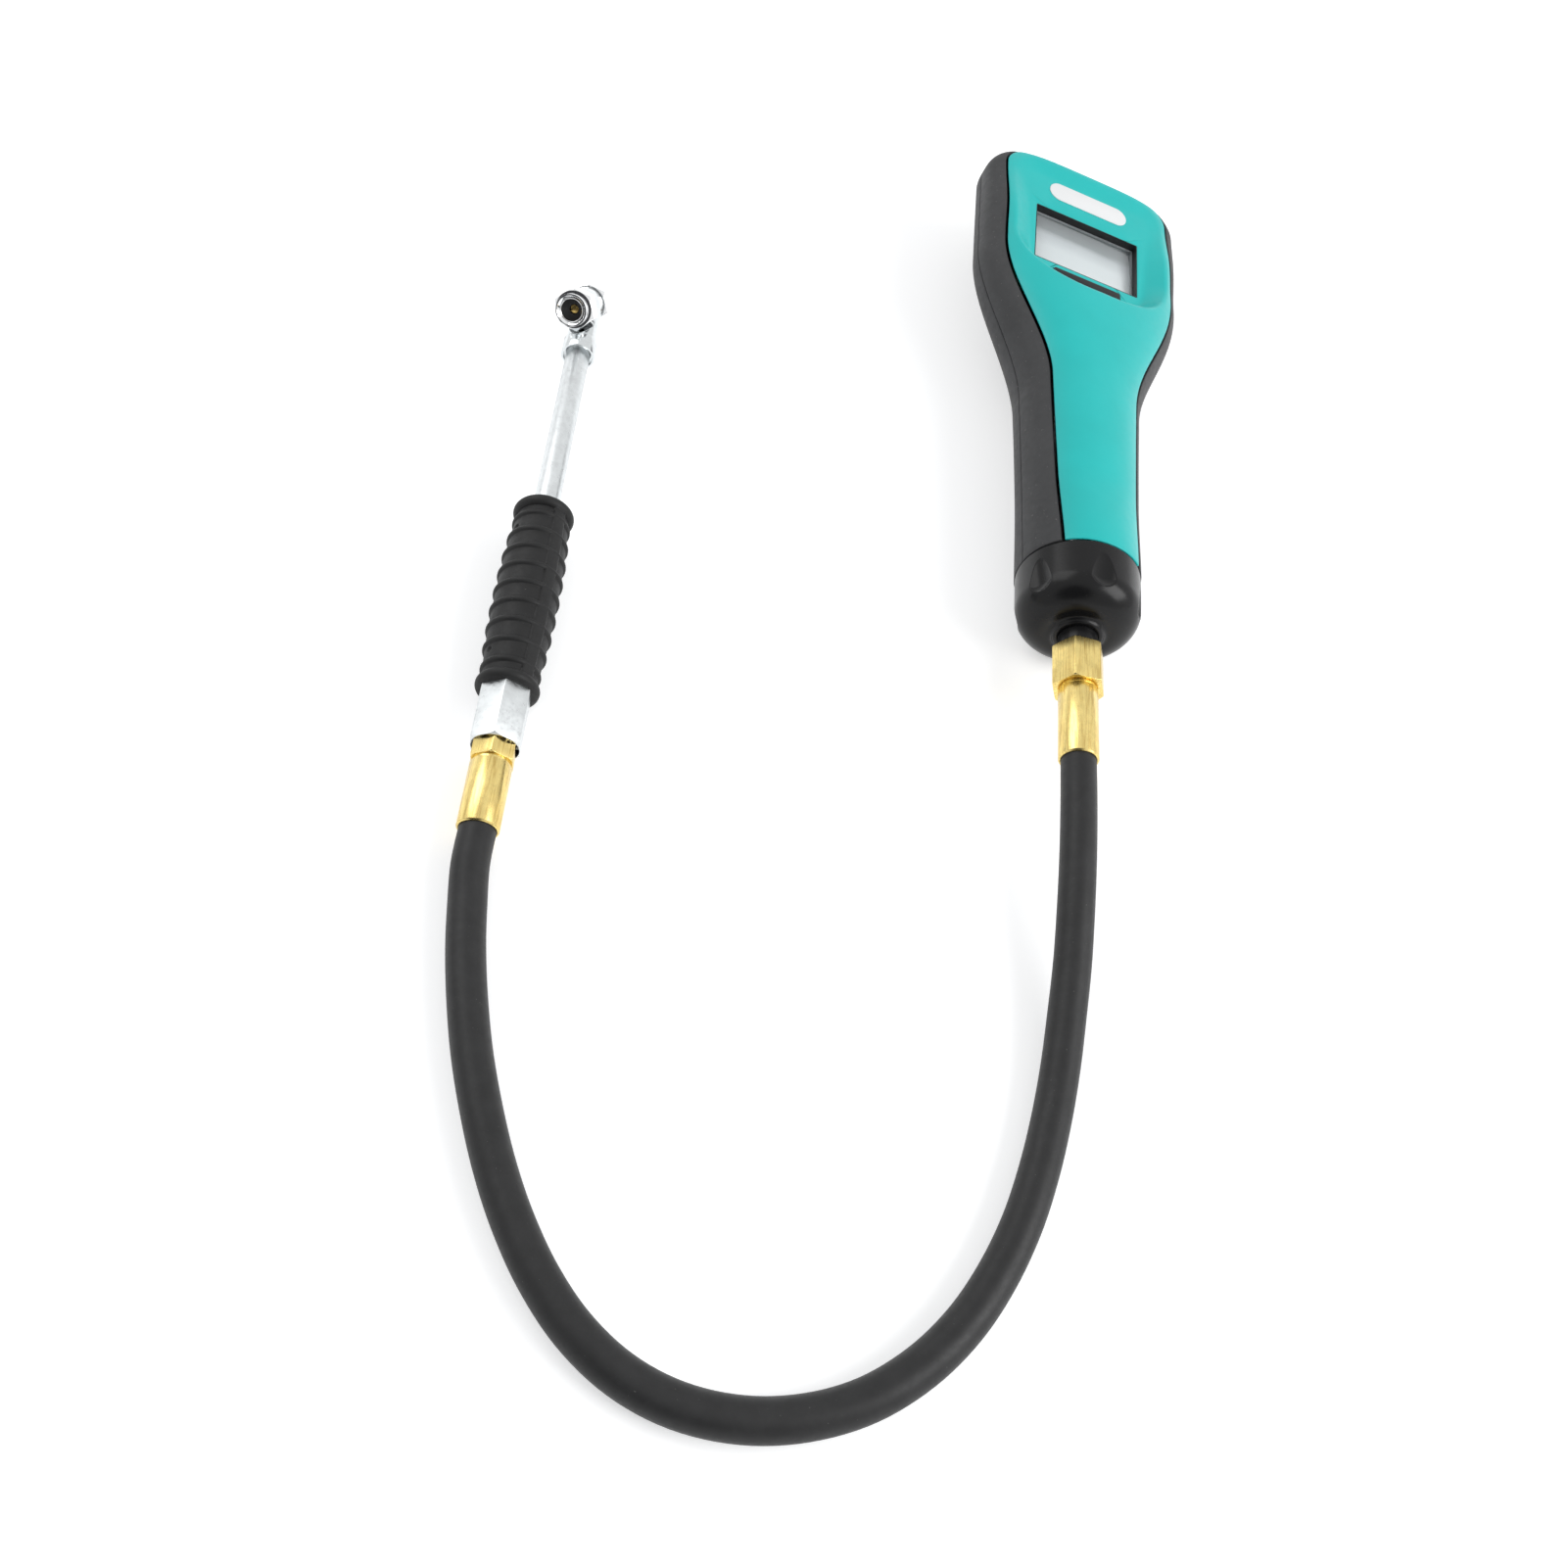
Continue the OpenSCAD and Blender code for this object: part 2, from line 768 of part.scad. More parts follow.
module lens_gasket() {
    color([0.08, 0.08, 0.09])
        in_gauge()
            on_floor()
                translate([0, window_y, -floor_t - lens_t - gasket_t])
                    linear_extrude(height = gasket_t)
                        difference() {
                            square([window_w + 3, window_len + 3], center = true);
                            square([window_w - gasket_w, window_len - gasket_w], center = true);
                        }
}

module lcd_panel() {
    color([0.72, 0.75, 0.74])
        in_gauge()
            on_floor()
                translate([0, window_y, -floor_t - lens_t - gasket_t - lcd_t])
                    linear_extrude(height = lcd_t)
                        square([window_w + 1, window_len + 1], center = true);
}

module label_plate() {
    color([0.95, 0.95, 0.95])
        in_gauge()
            on_floor()
                translate([0, label_y, 0])
                    linear_extrude(height = 0.4)
                        round_rect(label_len, label_w, label_w / 2 - 0.01);
}

module power_button() {
    color([0.10, 0.10, 0.11])
        in_gauge()
            on_floor()
                translate([0, button_y, 0]) {
                    translate([0, 0, button_low])
                        linear_extrude(height = button_up - button_low)
                            round_rect(button_len, button_w, 1.6);
                    translate([0, 0, button_low])
                        linear_extrude(height = button_lip_t)
                            round_rect(button_len + 2.6, button_w + 2.6, 2);
                }
}

module circuit_board() {
    color([0.05, 0.32, 0.16])
        in_gauge() {
            translate([0, board_y, board_z])
                linear_extrude(height = board_t)
                    difference() {
                        round_rect(board_w, board_len, 3);
                        for (sx = [-1, 1], sy = [-1, 1])
                            translate([sx * board_post_x, sy * (board_len / 2 - board_post_in)])
                                circle(d = 2.2);
                    }
            for (c = board_chips)
                translate([c[0], board_y + c[1], board_z + board_t - eps])
                    cube([c[2], c[3], chip_t]);
            // switch under the push button
            translate([0, button_y, board_z + board_t - eps])
                cylinder(h = switch_top - board_z - board_t, d = switch_d);
        }
}

module board_screws() {
    color([0.75, 0.76, 0.78])
        in_gauge()
            for (sx = [-1, 1], sy = [-1, 1])
                translate([sx * board_post_x, board_y + sy * (board_len / 2 - board_post_in), 0])
                    translate([0, 0, board_z + board_t])
                        cylinder(h = 1.2, d = 4);
}

module pressure_sensor() {
    color([0.75, 0.75, 0.78])
        in_gauge()
            translate([0, sensor_y, sensor_z]) {
                cylinder(h = 6, d = sensor_d);
                translate([0, 0, 6 - eps])
                    cylinder(h = 2.5, d = sensor_d - 2);
            }
}

module battery_tray() {
    tray_y0 = well_y0 + tray_gap;
    tray_y1 = tray_y0 + tray_len;
    color([0.12, 0.12, 0.13])
        in_gauge()
            difference() {
                union() {
                    for (side = [-1, 1])
                        translate([side * cell_x - cell_d / 2 - tray_wall, tray_y0, cell_z])
                            cube([cell_d + 2 * tray_wall, tray_len, cell_d / 2 + tray_wall]);
                    for (side = [-1, 1])
                        translate([side * (well_w / 2 + tray_foot_in - tray_foot_w / 2), tray_y0, ledge_z])
                            translate([-tray_foot_w / 2, 0, 0])
                                cube([tray_foot_w, tray_len, tray_foot_t]);
                    for (y = [tray_y0, tray_y1 - tray_wall])
                        translate([-cell_x, y, ledge_z])
                            cube([2 * cell_x, tray_wall, tray_tie_t]);
                }
                for (side = [-1, 1])
                    translate([side * cell_x, 0, cell_z])
                        bar(tray_y0 + tray_wall, tray_y1 - tray_wall, cell_d + cell_slack);
            }
}

module batteries() {
    color([0.75, 0.60, 0.25])
        in_gauge()
            for (s = [-1, 1])
                translate([s * cell_x, (well_y0 + well_y1 - cell_len) / 2, cell_z]) {
                    bar(0, cell_len - cell_tip_len, cell_d);
                    bar(cell_len - cell_tip_len - eps, cell_len, cell_tip_d);
                }
}

module battery_cover() {
    color([0.17, 0.17, 0.18])
        in_gauge()
            difference() {
                translate([0, bulge_mid, door_z])
                    linear_extrude(height = door_t)
                        round_rect(door_w, door_len, door_corner - door_gap);
                translate([0, door_screw_y, door_z - 1])
                    cylinder(h = 6, d = screw_d + 0.4);
                translate([0, door_screw_y, door_z - 1])
                    cylinder(h = 2, d = screw_head_d + 0.4);
            }
}

module battery_screw() {
    color([0.75, 0.76, 0.78])
        in_gauge()
            translate([0, door_screw_y, door_z + screw_sink - screw_head_t])
                difference() {
                    union() {
                        cylinder(h = screw_head_t, d = screw_head_d);
                        cylinder(h = door_screw_len, d = screw_d);
                    }
                    cross_slot();
                }
}

// Cross slot in a screw head that faces down
module cross_slot() {
    for (a = [0, 90])
        rotate(a)
            translate([-1.6, -0.35, -1])
                cube([3.2, 0.7, 1.5]);
}

module shell_screws() {
    color([0.75, 0.76, 0.78])
        in_gauge()
            for (p = screw_places)
                translate([p[0], p[1], rear_post_z - 0.2])
                    difference() {
                        union() {
                            cylinder(h = 1.4, d = screw_head_d);
                            cylinder(h = front_post_z - rear_post_z - 2.4, d = screw_d);
                        }
                        cross_slot();
                    }
}

// ---- air way ----
module inlet_adapter() {
    color([0.80, 0.66, 0.30])
        in_gauge()
            translate([0, 0, way_z])
                difference() {
                    union() {
                        hex_bar(housing_end, housing_end + inlet_out, inlet_af);
                        bar(housing_end - 6, housing_end + eps, adapter_d);
                        bar(housing_end - 9, housing_end - skin_wall, adapter_d + 3);
                        bar(adapter_y, housing_end - 9 + eps, 10);
                    }
                    bar(thread_y, housing_end + inlet_out + 1, inlet_thread_d);
                    bar(thread_y - filter_t, thread_y + eps, filter_d);
                    bar(adapter_y - 1, adapter_y + tube_grip, tube_out_d);
                    bar(adapter_y, housing_end, air_d);
                }
}

module inlet_filter() {
    color([0.55, 0.56, 0.58])
        in_gauge()
            translate([0, 0, way_z])
                bar(thread_y - filter_t, thread_y, filter_d);
}

module air_tube() {
    color([0.82, 0.83, 0.80])
        in_gauge()
            translate([0, 0, way_z])
                difference() {
                    bar(valve_end - tube_grip, adapter_y + tube_grip, tube_out_d);
                    bar(valve_end - tube_grip - 1, adapter_y + tube_grip + 1, air_d);
                }
}

module valve_body() {
    color([0.70, 0.71, 0.73])
        in_gauge()
            difference() {
                bar(valve_y, valve_end, valve_d);
                bar(valve_y - 1, stem_y, air_d);
                bar(valve_y - 1, valve_y + neck_thread_len + 1, neck_thread_d);
                translate([0, stem_y, seat_z])
                    cylinder(h = valve_r - seat_z + 1, r = chamber_r);
                translate([0, stem_y, guide_z])
                    cylinder(h = seat_z - guide_z + eps, r = seat_r);
                translate([0, stem_y, -valve_r - 1])
                    cylinder(h = valve_r + guide_z + 1 + eps, d = stem_d + 2 * run_gap);
                translate([0, 0, way_z]) {
                    bar(stem_y, valve_end + 1, air_d);
                    bar(valve_end - tube_grip, valve_end + 1, tube_out_d);
                }
                translate([0, sensor_y, sensor_z])
                    cylinder(h = 8, d = sensor_d);
                translate([0, sensor_y, 0])
                    cylinder(h = sensor_z + 1, d = 2);
            }
}

module valve_plug() {
    color([0.80, 0.66, 0.30])
        in_gauge()
            translate([0, stem_y, chamber_z])
                cylinder(h = valve_r - chamber_z + 1, r = chamber_r);
}

module valve_stem() {
    color([0.80, 0.66, 0.30])
        in_gauge()
            translate([0, stem_y, 0]) {
                translate([0, 0, lever_face_z(stem_y) + stem_gap])
                    cylinder(h = stem_head_z - lever_face_z(stem_y) - stem_gap + eps, d = stem_d);
                translate([0, 0, stem_head_z])
                    cylinder(h = stem_head_t, r = chamber_r - 0.6);
            }
}

module stem_seal() {
    color([0.10, 0.10, 0.10])
        in_gauge()
            translate([0, stem_y, stem_head_z - stem_seal_t])
                difference() {
                    cylinder(h = stem_seal_t, r = chamber_r - 0.4);
                    translate([0, 0, -1])
                        cylinder(h = stem_seal_t + 2, d = stem_d);
                }
}

module stem_spring() {
    color([0.75, 0.76, 0.78])
        in_gauge()
            translate([0, stem_y, stem_head_z + stem_head_t])
                difference() {
                    cylinder(h = chamber_z - stem_head_z - stem_head_t, r = chamber_r - 0.8);
                    translate([0, 0, -1])
                        cylinder(h = 2 * chamber_z, r = chamber_r - 1.6);
                }
}

// Height of the lever plate's inner face at station y
function lever_face_z(y) = lever_out_z + lever_t + (y - (pin_y - lever_len)) * lever_rise;

module trigger_lever() {
    color([0.14, 0.14, 0.15])
        in_gauge()
            difference() {
                union() {
                    translate([-lever_w / 2, 0, 0])
                        rotate([90, 0, 90])
                            linear_extrude(height = lever_w)
                                polygon([[pin_y - lever_len, lever_out_z],
                                         [heel_y, lever_out_z + (heel_y - pin_y + lever_len) * lever_rise],
                                         [pin_y + heel_r, pin_z - heel_r], [pin_y + heel_r, pin_z + 1],
                                         [pin_y - heel_r, pin_z + 1],
                                         [heel_y - 2, lever_face_z(heel_y - 2)],
                                         [pin_y - lever_len, lever_out_z + lever_t]]);
                    translate([0, pin_y, pin_z])
                        rotate([0, 90, 0])
                            cylinder(h = lever_w, d = lever_boss_d, center = true);
                    for (s = [-1, 1])
                        translate([s * (lever_w - lever_rib) / 2, 0, 0])
                            translate([-lever_rib / 2, pin_y - lever_len + lever_rib, lever_out_z + 1])
                                cube([lever_rib, lever_len - heel_len - 2 * lever_rib, lever_t + 1]);
                }
                translate([0, pin_y, pin_z])
                    rotate([0, 90, 0])
                        cylinder(h = lever_w + 2, d = lever_pin_d + 2 * run_gap, center = true);
            }
}

module lever_pin() {
    color([0.75, 0.76, 0.78])
        in_gauge()
            translate([0, pin_y, pin_z])
                rotate([0, 90, 0])
                    cylinder(h = lever_pin_len, d = lever_pin_d, center = true);
}

// ---- end cap and outlet ----
module end_cap() {
    wall = 3;
    spigot_len = 6;
    color([0.09, 0.09, 0.10])
        in_gauge()
            difference() {
                union() {
                    translate([0, cap_y, 0])
                        rotate([-90, 0, 0])
                            rotate_extrude($fn = 96)
                                cap_profile(wall);
                    difference() {
                        bar(housing_y - 2, housing_y + spigot_len, handle_d - 2 * skin_wall - 1.4);
                        bar(housing_y - 3, housing_y + spigot_len + 1, handle_d - 2 * skin_wall - 5);
                    }
                }
                for (i = [0 : dent_count - 1])
                    rotate([0, i * 360 / dent_count + dent_turn, 0])
                        finger_dent();
            }
}

module cap_profile(wall) {
    hole_r = neck_d / 2;
    rim_r = handle_r - cap_round;
    difference() {
        union() {
            translate([hole_r, 0])
                square([rim_r - hole_r, cap_len]);
            translate([hole_r, cap_round])
                square([handle_r - hole_r, cap_len - cap_round]);
            intersection() {
                translate([rim_r, cap_round])
                    circle(r = cap_round);
                translate([hole_r, 0])
                    square([handle_r, 2 * cap_round]);
            }
            // boss round the neck
            translate([hole_r, -boss_len])
                square([boss_w - boss_round, boss_len + boss_round]);
            translate([hole_r, boss_round - boss_len])
                square([boss_w, boss_len]);
            translate([hole_r + boss_w - boss_round, boss_round - boss_len])
                circle(r = boss_round);
        }
        // hollow, with a rounding that follows the outer one
        translate([0, wall])
            square([rim_r - 1, cap_len]);
        translate([rim_r - 1, cap_round])
            circle(r = cap_round - wall);
        translate([0, cap_round])
            square([handle_r - wall - 1, cap_len]);
    }
}

// One dent: a ball-ended cut that runs out towards the housing
module finger_dent() {
    translate([0, cap_y + dent_in, handle_r + dent_r - dent_depth])
        rotate([dent_tilt, 0, 0]) {
            sphere(r = dent_r);
            bar(0, cap_len + dent_in, 2 * dent_r);
        }
}

module outlet_neck() {
    color([0.06, 0.06, 0.07])
        in_gauge()
            difference() {
                union() {
                    bar(union_end, cap_y + 3.5, neck_d);
                    bar(cap_y + 3, cap_y + 7, 2 * (handle_r - cap_round - 1) - 0.3);
                    bar(cap_y + 6.9, valve_y - 1.6, neck_d);
                    bar(valve_y - 2, valve_y + neck_thread_len, neck_thread_d - 0.1);
                    bar(union_end - 10, union_end + eps, 9);
                }
                bar(union_end - 12, valve_y + neck_thread_len + 1, air_d);
            }
}

module neck_seal() {
    color([0.08, 0.08, 0.08])
        in_gauge()
            translate([0, valve_y - 1.6, 0])
                rotate([-90, 0, 0])
                    difference() {
                        cylinder(h = 1.6, d = neck_d);
                        translate([0, 0, -1])
                            cylinder(h = 4, d = neck_thread_d);
                    }
}

// ---- hose and its fittings ----
module ferrule(len) {
    outer = hose_d + 2 * ferrule_wall;
    difference() {
        union() {
            bar(0.6, len, outer);
            translate([0, 0, 0])
                rotate([-90, 0, 0])
                    cylinder(h = 0.6 + eps, d1 = outer - 1, d2 = outer);
        }
        bar(-1, hose_seat, hose_d + 0.2);
        bar(-1, len + 1, barb_d + 0.1);
    }
}

module gauge_ferrule() {
    color([0.86, 0.70, 0.25])
        in_gauge()
            ferrule(gauge_ferrule_len);
}

module hose_union() {
    color([0.86, 0.70, 0.25])
        in_gauge()
            difference() {
                union() {
                    bar(hose_seat, union_y + eps, barb_d);
                    bar(gauge_ferrule_len, union_y + 1, hose_d + 1);
                    rotate([0, union_turn, 0])
                        hex_bar(union_y, union_end, union_af);
                }
                bar(union_end - 11, union_end + 1, 9.1);
                bar(0, union_end, air_d - 1);
            }
}

// The hose's route on the floor, from the housing round to the wand
hose_route = [
    [87.1, -164, 21.2], [87.1, -179, 19.5], [87, -197, 16.5], [86.7, -215, 12.9], [85.5, -233, 9.9],
    [83.8, -251, 7.8], [81, -269, 6.8], [77, -287, 6.6], [71.5, -305, 6.6], [64, -322, 6.6],
    [54.5, -337.5, 6.6], [42.4, -351, 6.6], [27.5, -362, 6.6], [10.6, -369, 6.6], [-7.5, -372, 6.6],
    [-26, -370.5, 6.6], [-43, -364.4, 6.6], [-58, -354, 6.6], [-70.5, -340.5, 6.6],
    [-81, -325, 6.6], [-89.5, -309, 6.6], [-96.8, -292, 6.6], [-103, -275, 6.6],
    [-108.2, -257, 6.7], [-112.2, -240, 7], [-115, -224, 7.4]];

// A point on an axis that leaves the ferrule, d past its mouth
function gauge_point(d) = [gauge_x, gauge_y, gauge_z]
    - d * [0, cos(gauge_pitch), sin(gauge_pitch)];
function wand_point(d) = [wand_x, wand_y, wand_z]
    - d * [-sin(wand_yaw) * cos(wand_pitch), cos(wand_yaw) * cos(wand_pitch), sin(wand_pitch)];

hose_points = concat([gauge_point(-hose_seat), gauge_point(0), gauge_point(hose_d)], hose_route,
                     [wand_point(hose_d), wand_point(0), wand_point(-hose_seat)]);

// Catmull-Rom between the route's points gives the rings their places
function spline(a, b, c, d, t) = 0.5 * ((2 * b) + (c - a) * t + (2 * a - 5 * b + 4 * c - d) * t * t
    + (3 * b - a - 3 * c + d) * t * t * t);
hose_last = len(hose_points) - 1;
hose_rings = concat([hose_points[0]],
    [for (i = [1 : hose_last - 2], k = [0 : 1])
        spline(hose_points[i - 1], hose_points[i], hose_points[i + 1], hose_points[i + 2], k / 2)],
    [hose_points[hose_last - 1], hose_points[hose_last]]);

function unit(v) = v / norm(v);

module hose() {
    n = 12;
    last = len(hose_rings) - 1;
    function along(i) = unit(hose_rings[min(i + 1, last)] - hose_rings[max(i - 1, 0)]);
    function side(i) = unit(cross(along(i), [0, 0, 1]));
    points = [for (i = [0 : last], a = [0 : n - 1])
        let (up = cross(side(i), along(i)))
        hose_rings[i] + hose_d / 2 * (cos(360 * a / n) * side(i) + sin(360 * a / n) * up)];
    skin = [for (i = [0 : last - 1], a = [0 : n - 1])
        let (b = (a + 1) % n)
        each [[i * n + a, i * n + b, (i + 1) * n + a], [i * n + b, (i + 1) * n + b, (i + 1) * n + a]]];
    color([0.13, 0.13, 0.13])
        polyhedron(points, concat(skin, [[for (a = [0 : n - 1]) n - 1 - a]],
                                  [[for (a = [0 : n - 1]) last * n + a]]), convexity = 10);
}

module wand_ferrule() {
    color([0.86, 0.70, 0.25])
        on_wand()
            ferrule(wand_ferrule_len);
}

module hose_insert() {
    color([0.86, 0.70, 0.25])
        on_wand()
            difference() {
                union() {
                    bar(hose_seat, insert_y + eps, barb_d);
                    bar(wand_ferrule_len, insert_y + 1, insert_af - 1);
                    hex_bar(insert_y, insert_end, insert_af);
                    bar(insert_end - 1, insert_end + plug_len, insert_plug_d);
                }
                bar(0, insert_end + plug_len + 1, air_d - 1);
            }
}

// ---- wand ----
module wand_body() {
    color([0.80, 0.82, 0.84])
        on_wand()
            difference() {
                union() {
                    hex_bar(body_y, body_y + wand_body_len, wand_af, 1.2);
                    bar(body_y + wand_body_len - 1, spigot_end, spigot_d);
                }
                bar(body_y - 1, insert_end + plug_len + 0.5, insert_plug_d + 0.1);
                bar(body_y - 1, insert_end, insert_af / cos(30) + 0.2);
                bar(body_y, spigot_end + 1, air_d);
                bar(tube_y, spigot_end + 1, tube_d + 0.1);
            }
}

// Radius of the grip's bare barrel at a share t of its length
function barrel_r(t) = grip_d / 2 - rib_h - neck_in * pow(abs(2 * t - 1), 2.2);

module grip_sleeve() {
    color([0.12, 0.12, 0.12])
        difference() {
            union() {
                on_wand()
                    translate([0, grip_y, 0])
                        rotate([-90, 0, 0])
                            rotate_extrude()
                                grip_profile();
                on_wand(grip_strip_roll)
                    grip_strip();
            }
            on_wand() {
                bar(grip_y - 10, grip_end + 10, tube_d + 0.1);
                bar(grip_y - 10, spigot_end + 0.1, spigot_d + 0.1);
                hex_bar(grip_y - 20, body_y + wand_body_len + 0.1, wand_af + 0.1, 0.1);
            }
        }
}

module grip_profile() {
    steps = 24;
    polygon(concat([[1, 0]],
        [for (k = [0 : steps]) [barrel_r(k / steps), k * grip_len / steps]],
        [[1, grip_len]]));
    for (k = [1 : rib_count])
        let (t = k / (rib_count + 1))
            translate([barrel_r(t) + rib_h - rib_w / 2, t * grip_len])
                circle(d = rib_w, $fn = 16);
    for (y = [lip_r, grip_len - lip_r])
        translate([flange_d / 2 - lip_r, y])
            circle(r = lip_r, $fn = 24);
    for (y = [lip_r, grip_len - lip_r])
        translate([1, y - lip_r])
            square([flange_d / 2 - lip_r - 1, 2 * lip_r]);
}

// Flat strip along the grip that joins the ribs
module grip_strip() {
    strip_w = 4.5;
    translate([-strip_w / 2, grip_y + 3, 0])
        rotate([90, 0, 90])
            linear_extrude(height = strip_w)
                polygon(concat([[0, 5]],
                    [for (k = [0 : 12]) [k * (grip_len - 6) / 12, barrel_r(k / 12) + rib_h - 0.3]],
                    [[grip_len - 6, 5]]));
}

module steel_tube() {
    color([0.85, 0.86, 0.88])
        on_wand()
            difference() {
                bar(tube_y, tube_end + tube_in, tube_d);
                bar(tube_y - 1, tube_end + tube_in + 1, tube_d - 3);
            }
}

module chuck_body() {
    color([0.84, 0.85, 0.87])
        difference() {
            union() {
                on_wand(-wand_roll) {
                    bar(collar_y, collar_y + collar_len, 2 * socket_r);
                    bar(collar_y + collar_len - 1, neck_end_y, 12);
                }
                in_chuck()
                    bar(-chuck_mid_len / 2, chuck_mid_len / 2, chuck_d);
            }
            on_wand(-wand_roll) {
                bar(collar_y - 1, tube_end + tube_in + 0.1, tube_d + 0.1);
                bar(collar_y - 1, collar_y + collar_lip, tube_d + 2 * collar_gap);
                bar(collar_y, chuck_mid_y - 4, air_d);
            }
            in_chuck()
                for (a = [0, 180])
                    rotate([0, 0, a]) {
                        bar(web_t / 2, chuck_len, nut_thread_d);
                        // room to turn the nuts
                        bar(chuck_mid_len / 2, chuck_len, nut_af / cos(30) + 1);
                    }
        }
}

// A chuck nut with its turned nose, towards +y
module chuck_nut() {
    nut_y = chuck_mid_len / 2 + 0.2;
    nose_y = chuck_len / 2 - nose_len;
    difference() {
        union() {
            bar(3, nut_y + 1, nut_thread_d - 0.1);
            hex_bar(nut_y, nose_y, nut_af, 1.4);
            bar(nose_y - 1, chuck_len / 2, mouth_d + 2 * nose_wall);
        }
        bar(seal_y + seal_t - eps, chuck_len / 2 + 1, mouth_d);
        bar(seal_y, seal_y + seal_t, seal_d);
        bar(0, seal_y - nut_stop_t, nut_bore_d);
        bar(0, seal_y + 1, seal_hole_d);
        translate([0, chuck_len / 2 - mouth_chamfer, 0])
            rotate([-90, 0, 0])
                cylinder(h = mouth_chamfer + eps, d1 = mouth_d, d2 = mouth_d + 2 * mouth_chamfer);
    }
}

module chuck_seal() {
    difference() {
        bar(seal_y, seal_y + seal_t, seal_d);
        bar(seal_y - 1, seal_y + seal_t + 1, seal_hole_d);
    }
}

// A depressor pin: shaft, collar and a tip that meets a tyre valve's core
module depressor() {
    bar(collar_back_y - 3, seal_y + seal_t - 0.5, depressor_d);
    bar(collar_back_y, collar_back_y + pin_collar_t, nut_bore_d - 0.6);
}

module depressor_spring() {
    difference() {
        bar(web_t / 2, collar_back_y, nut_bore_d - 0.8);
        bar(0, collar_back_y + 1, depressor_d + 0.4);
    }
}

module front_nut() {
    color([0.82, 0.83, 0.86])
        in_chuck()
            chuck_nut();
}

module rear_nut() {
    color([0.82, 0.83, 0.86])
        in_chuck()
            rotate([0, 0, 180])
                chuck_nut();
}

module front_seal() {
    color([0.08, 0.08, 0.08])
        in_chuck()
            chuck_seal();
}

module rear_seal() {
    color([0.08, 0.08, 0.08])
        in_chuck()
            rotate([0, 0, 180])
                chuck_seal();
}

module front_pin() {
    color([0.80, 0.64, 0.20])
        in_chuck()
            depressor();
}

module rear_pin() {
    color([0.80, 0.64, 0.20])
        in_chuck()
            rotate([0, 0, 180])
                depressor();
}

module front_pin_spring() {
    color([0.75, 0.76, 0.78])
        in_chuck()
            depressor_spring();
}

module rear_pin_spring() {
    color([0.75, 0.76, 0.78])
        in_chuck()
            rotate([0, 0, 180])
                depressor_spring();
}

front_cover();
front_shell();
rear_shell();
display_lens();
lens_gasket();
lcd_panel();
label_plate();
power_button();
circuit_board();
board_screws();
pressure_sensor();
battery_tray();
batteries();
battery_cover();
battery_screw();
shell_screws();
inlet_adapter();
inlet_filter();
air_tube();
valve_body();
valve_plug();
valve_stem();
stem_seal();
stem_spring();
trigger_lever();
lever_pin();
end_cap();
outlet_neck();
neck_seal();
hose_union();
gauge_ferrule();
hose();
wand_ferrule();
hose_insert();
wand_body();
grip_sleeve();
steel_tube();
chuck_body();
front_nut();
rear_nut();
front_seal();
rear_seal();
front_pin();
rear_pin();
front_pin_spring();
rear_pin_spring();
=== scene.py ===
import json
import math

import bmesh
import bpy
from mathutils import Matrix, Vector

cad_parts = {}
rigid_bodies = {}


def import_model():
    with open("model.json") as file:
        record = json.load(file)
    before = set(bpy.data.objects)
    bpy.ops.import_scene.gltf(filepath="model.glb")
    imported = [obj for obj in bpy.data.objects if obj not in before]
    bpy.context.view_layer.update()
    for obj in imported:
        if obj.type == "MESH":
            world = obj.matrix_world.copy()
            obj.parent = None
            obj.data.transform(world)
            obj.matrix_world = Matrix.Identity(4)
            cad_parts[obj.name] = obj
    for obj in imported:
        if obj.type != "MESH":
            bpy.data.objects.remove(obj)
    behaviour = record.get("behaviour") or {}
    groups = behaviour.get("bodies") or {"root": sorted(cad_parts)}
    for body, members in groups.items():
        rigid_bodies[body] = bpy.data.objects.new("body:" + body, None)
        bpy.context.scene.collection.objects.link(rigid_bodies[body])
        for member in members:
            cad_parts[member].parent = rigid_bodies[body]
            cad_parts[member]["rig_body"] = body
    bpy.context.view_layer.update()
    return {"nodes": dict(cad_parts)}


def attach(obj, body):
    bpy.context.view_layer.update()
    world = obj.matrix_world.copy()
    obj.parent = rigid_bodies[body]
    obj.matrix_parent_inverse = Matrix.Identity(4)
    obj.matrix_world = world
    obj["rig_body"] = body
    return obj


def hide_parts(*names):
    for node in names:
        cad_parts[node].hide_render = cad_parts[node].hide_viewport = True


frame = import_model()

# Shapes are worked out in millimetres in each part's own frame, then placed in metres
MM = 0.001


def own_frame(x, y, z, yaw=0.0, pitch=0.0, roll=0.0):
    """A part's own frame in millimetres, as a matrix into the model's metres."""
    turn = (Matrix.Rotation(math.radians(yaw), 4, "Z")
            @ Matrix.Rotation(math.radians(pitch), 4, "X")
            @ Matrix.Rotation(math.radians(roll), 4, "Y"))
    return Matrix.Scale(MM, 4) @ Matrix.Translation((x, y, z)) @ turn


GAUGE = own_frame(87.1, -136.7, 22.4, pitch=1.44, roll=13.6)
WAND = own_frame(-117.2, -197.4, 9.2, yaw=1.4, pitch=2.4)
CHUCK = (WAND @ Matrix.Rotation(math.radians(-17.5), 4, "Y") @ Matrix.Translation((0, 255, 5))
         @ Matrix.Rotation(math.radians(145), 4, "X"))


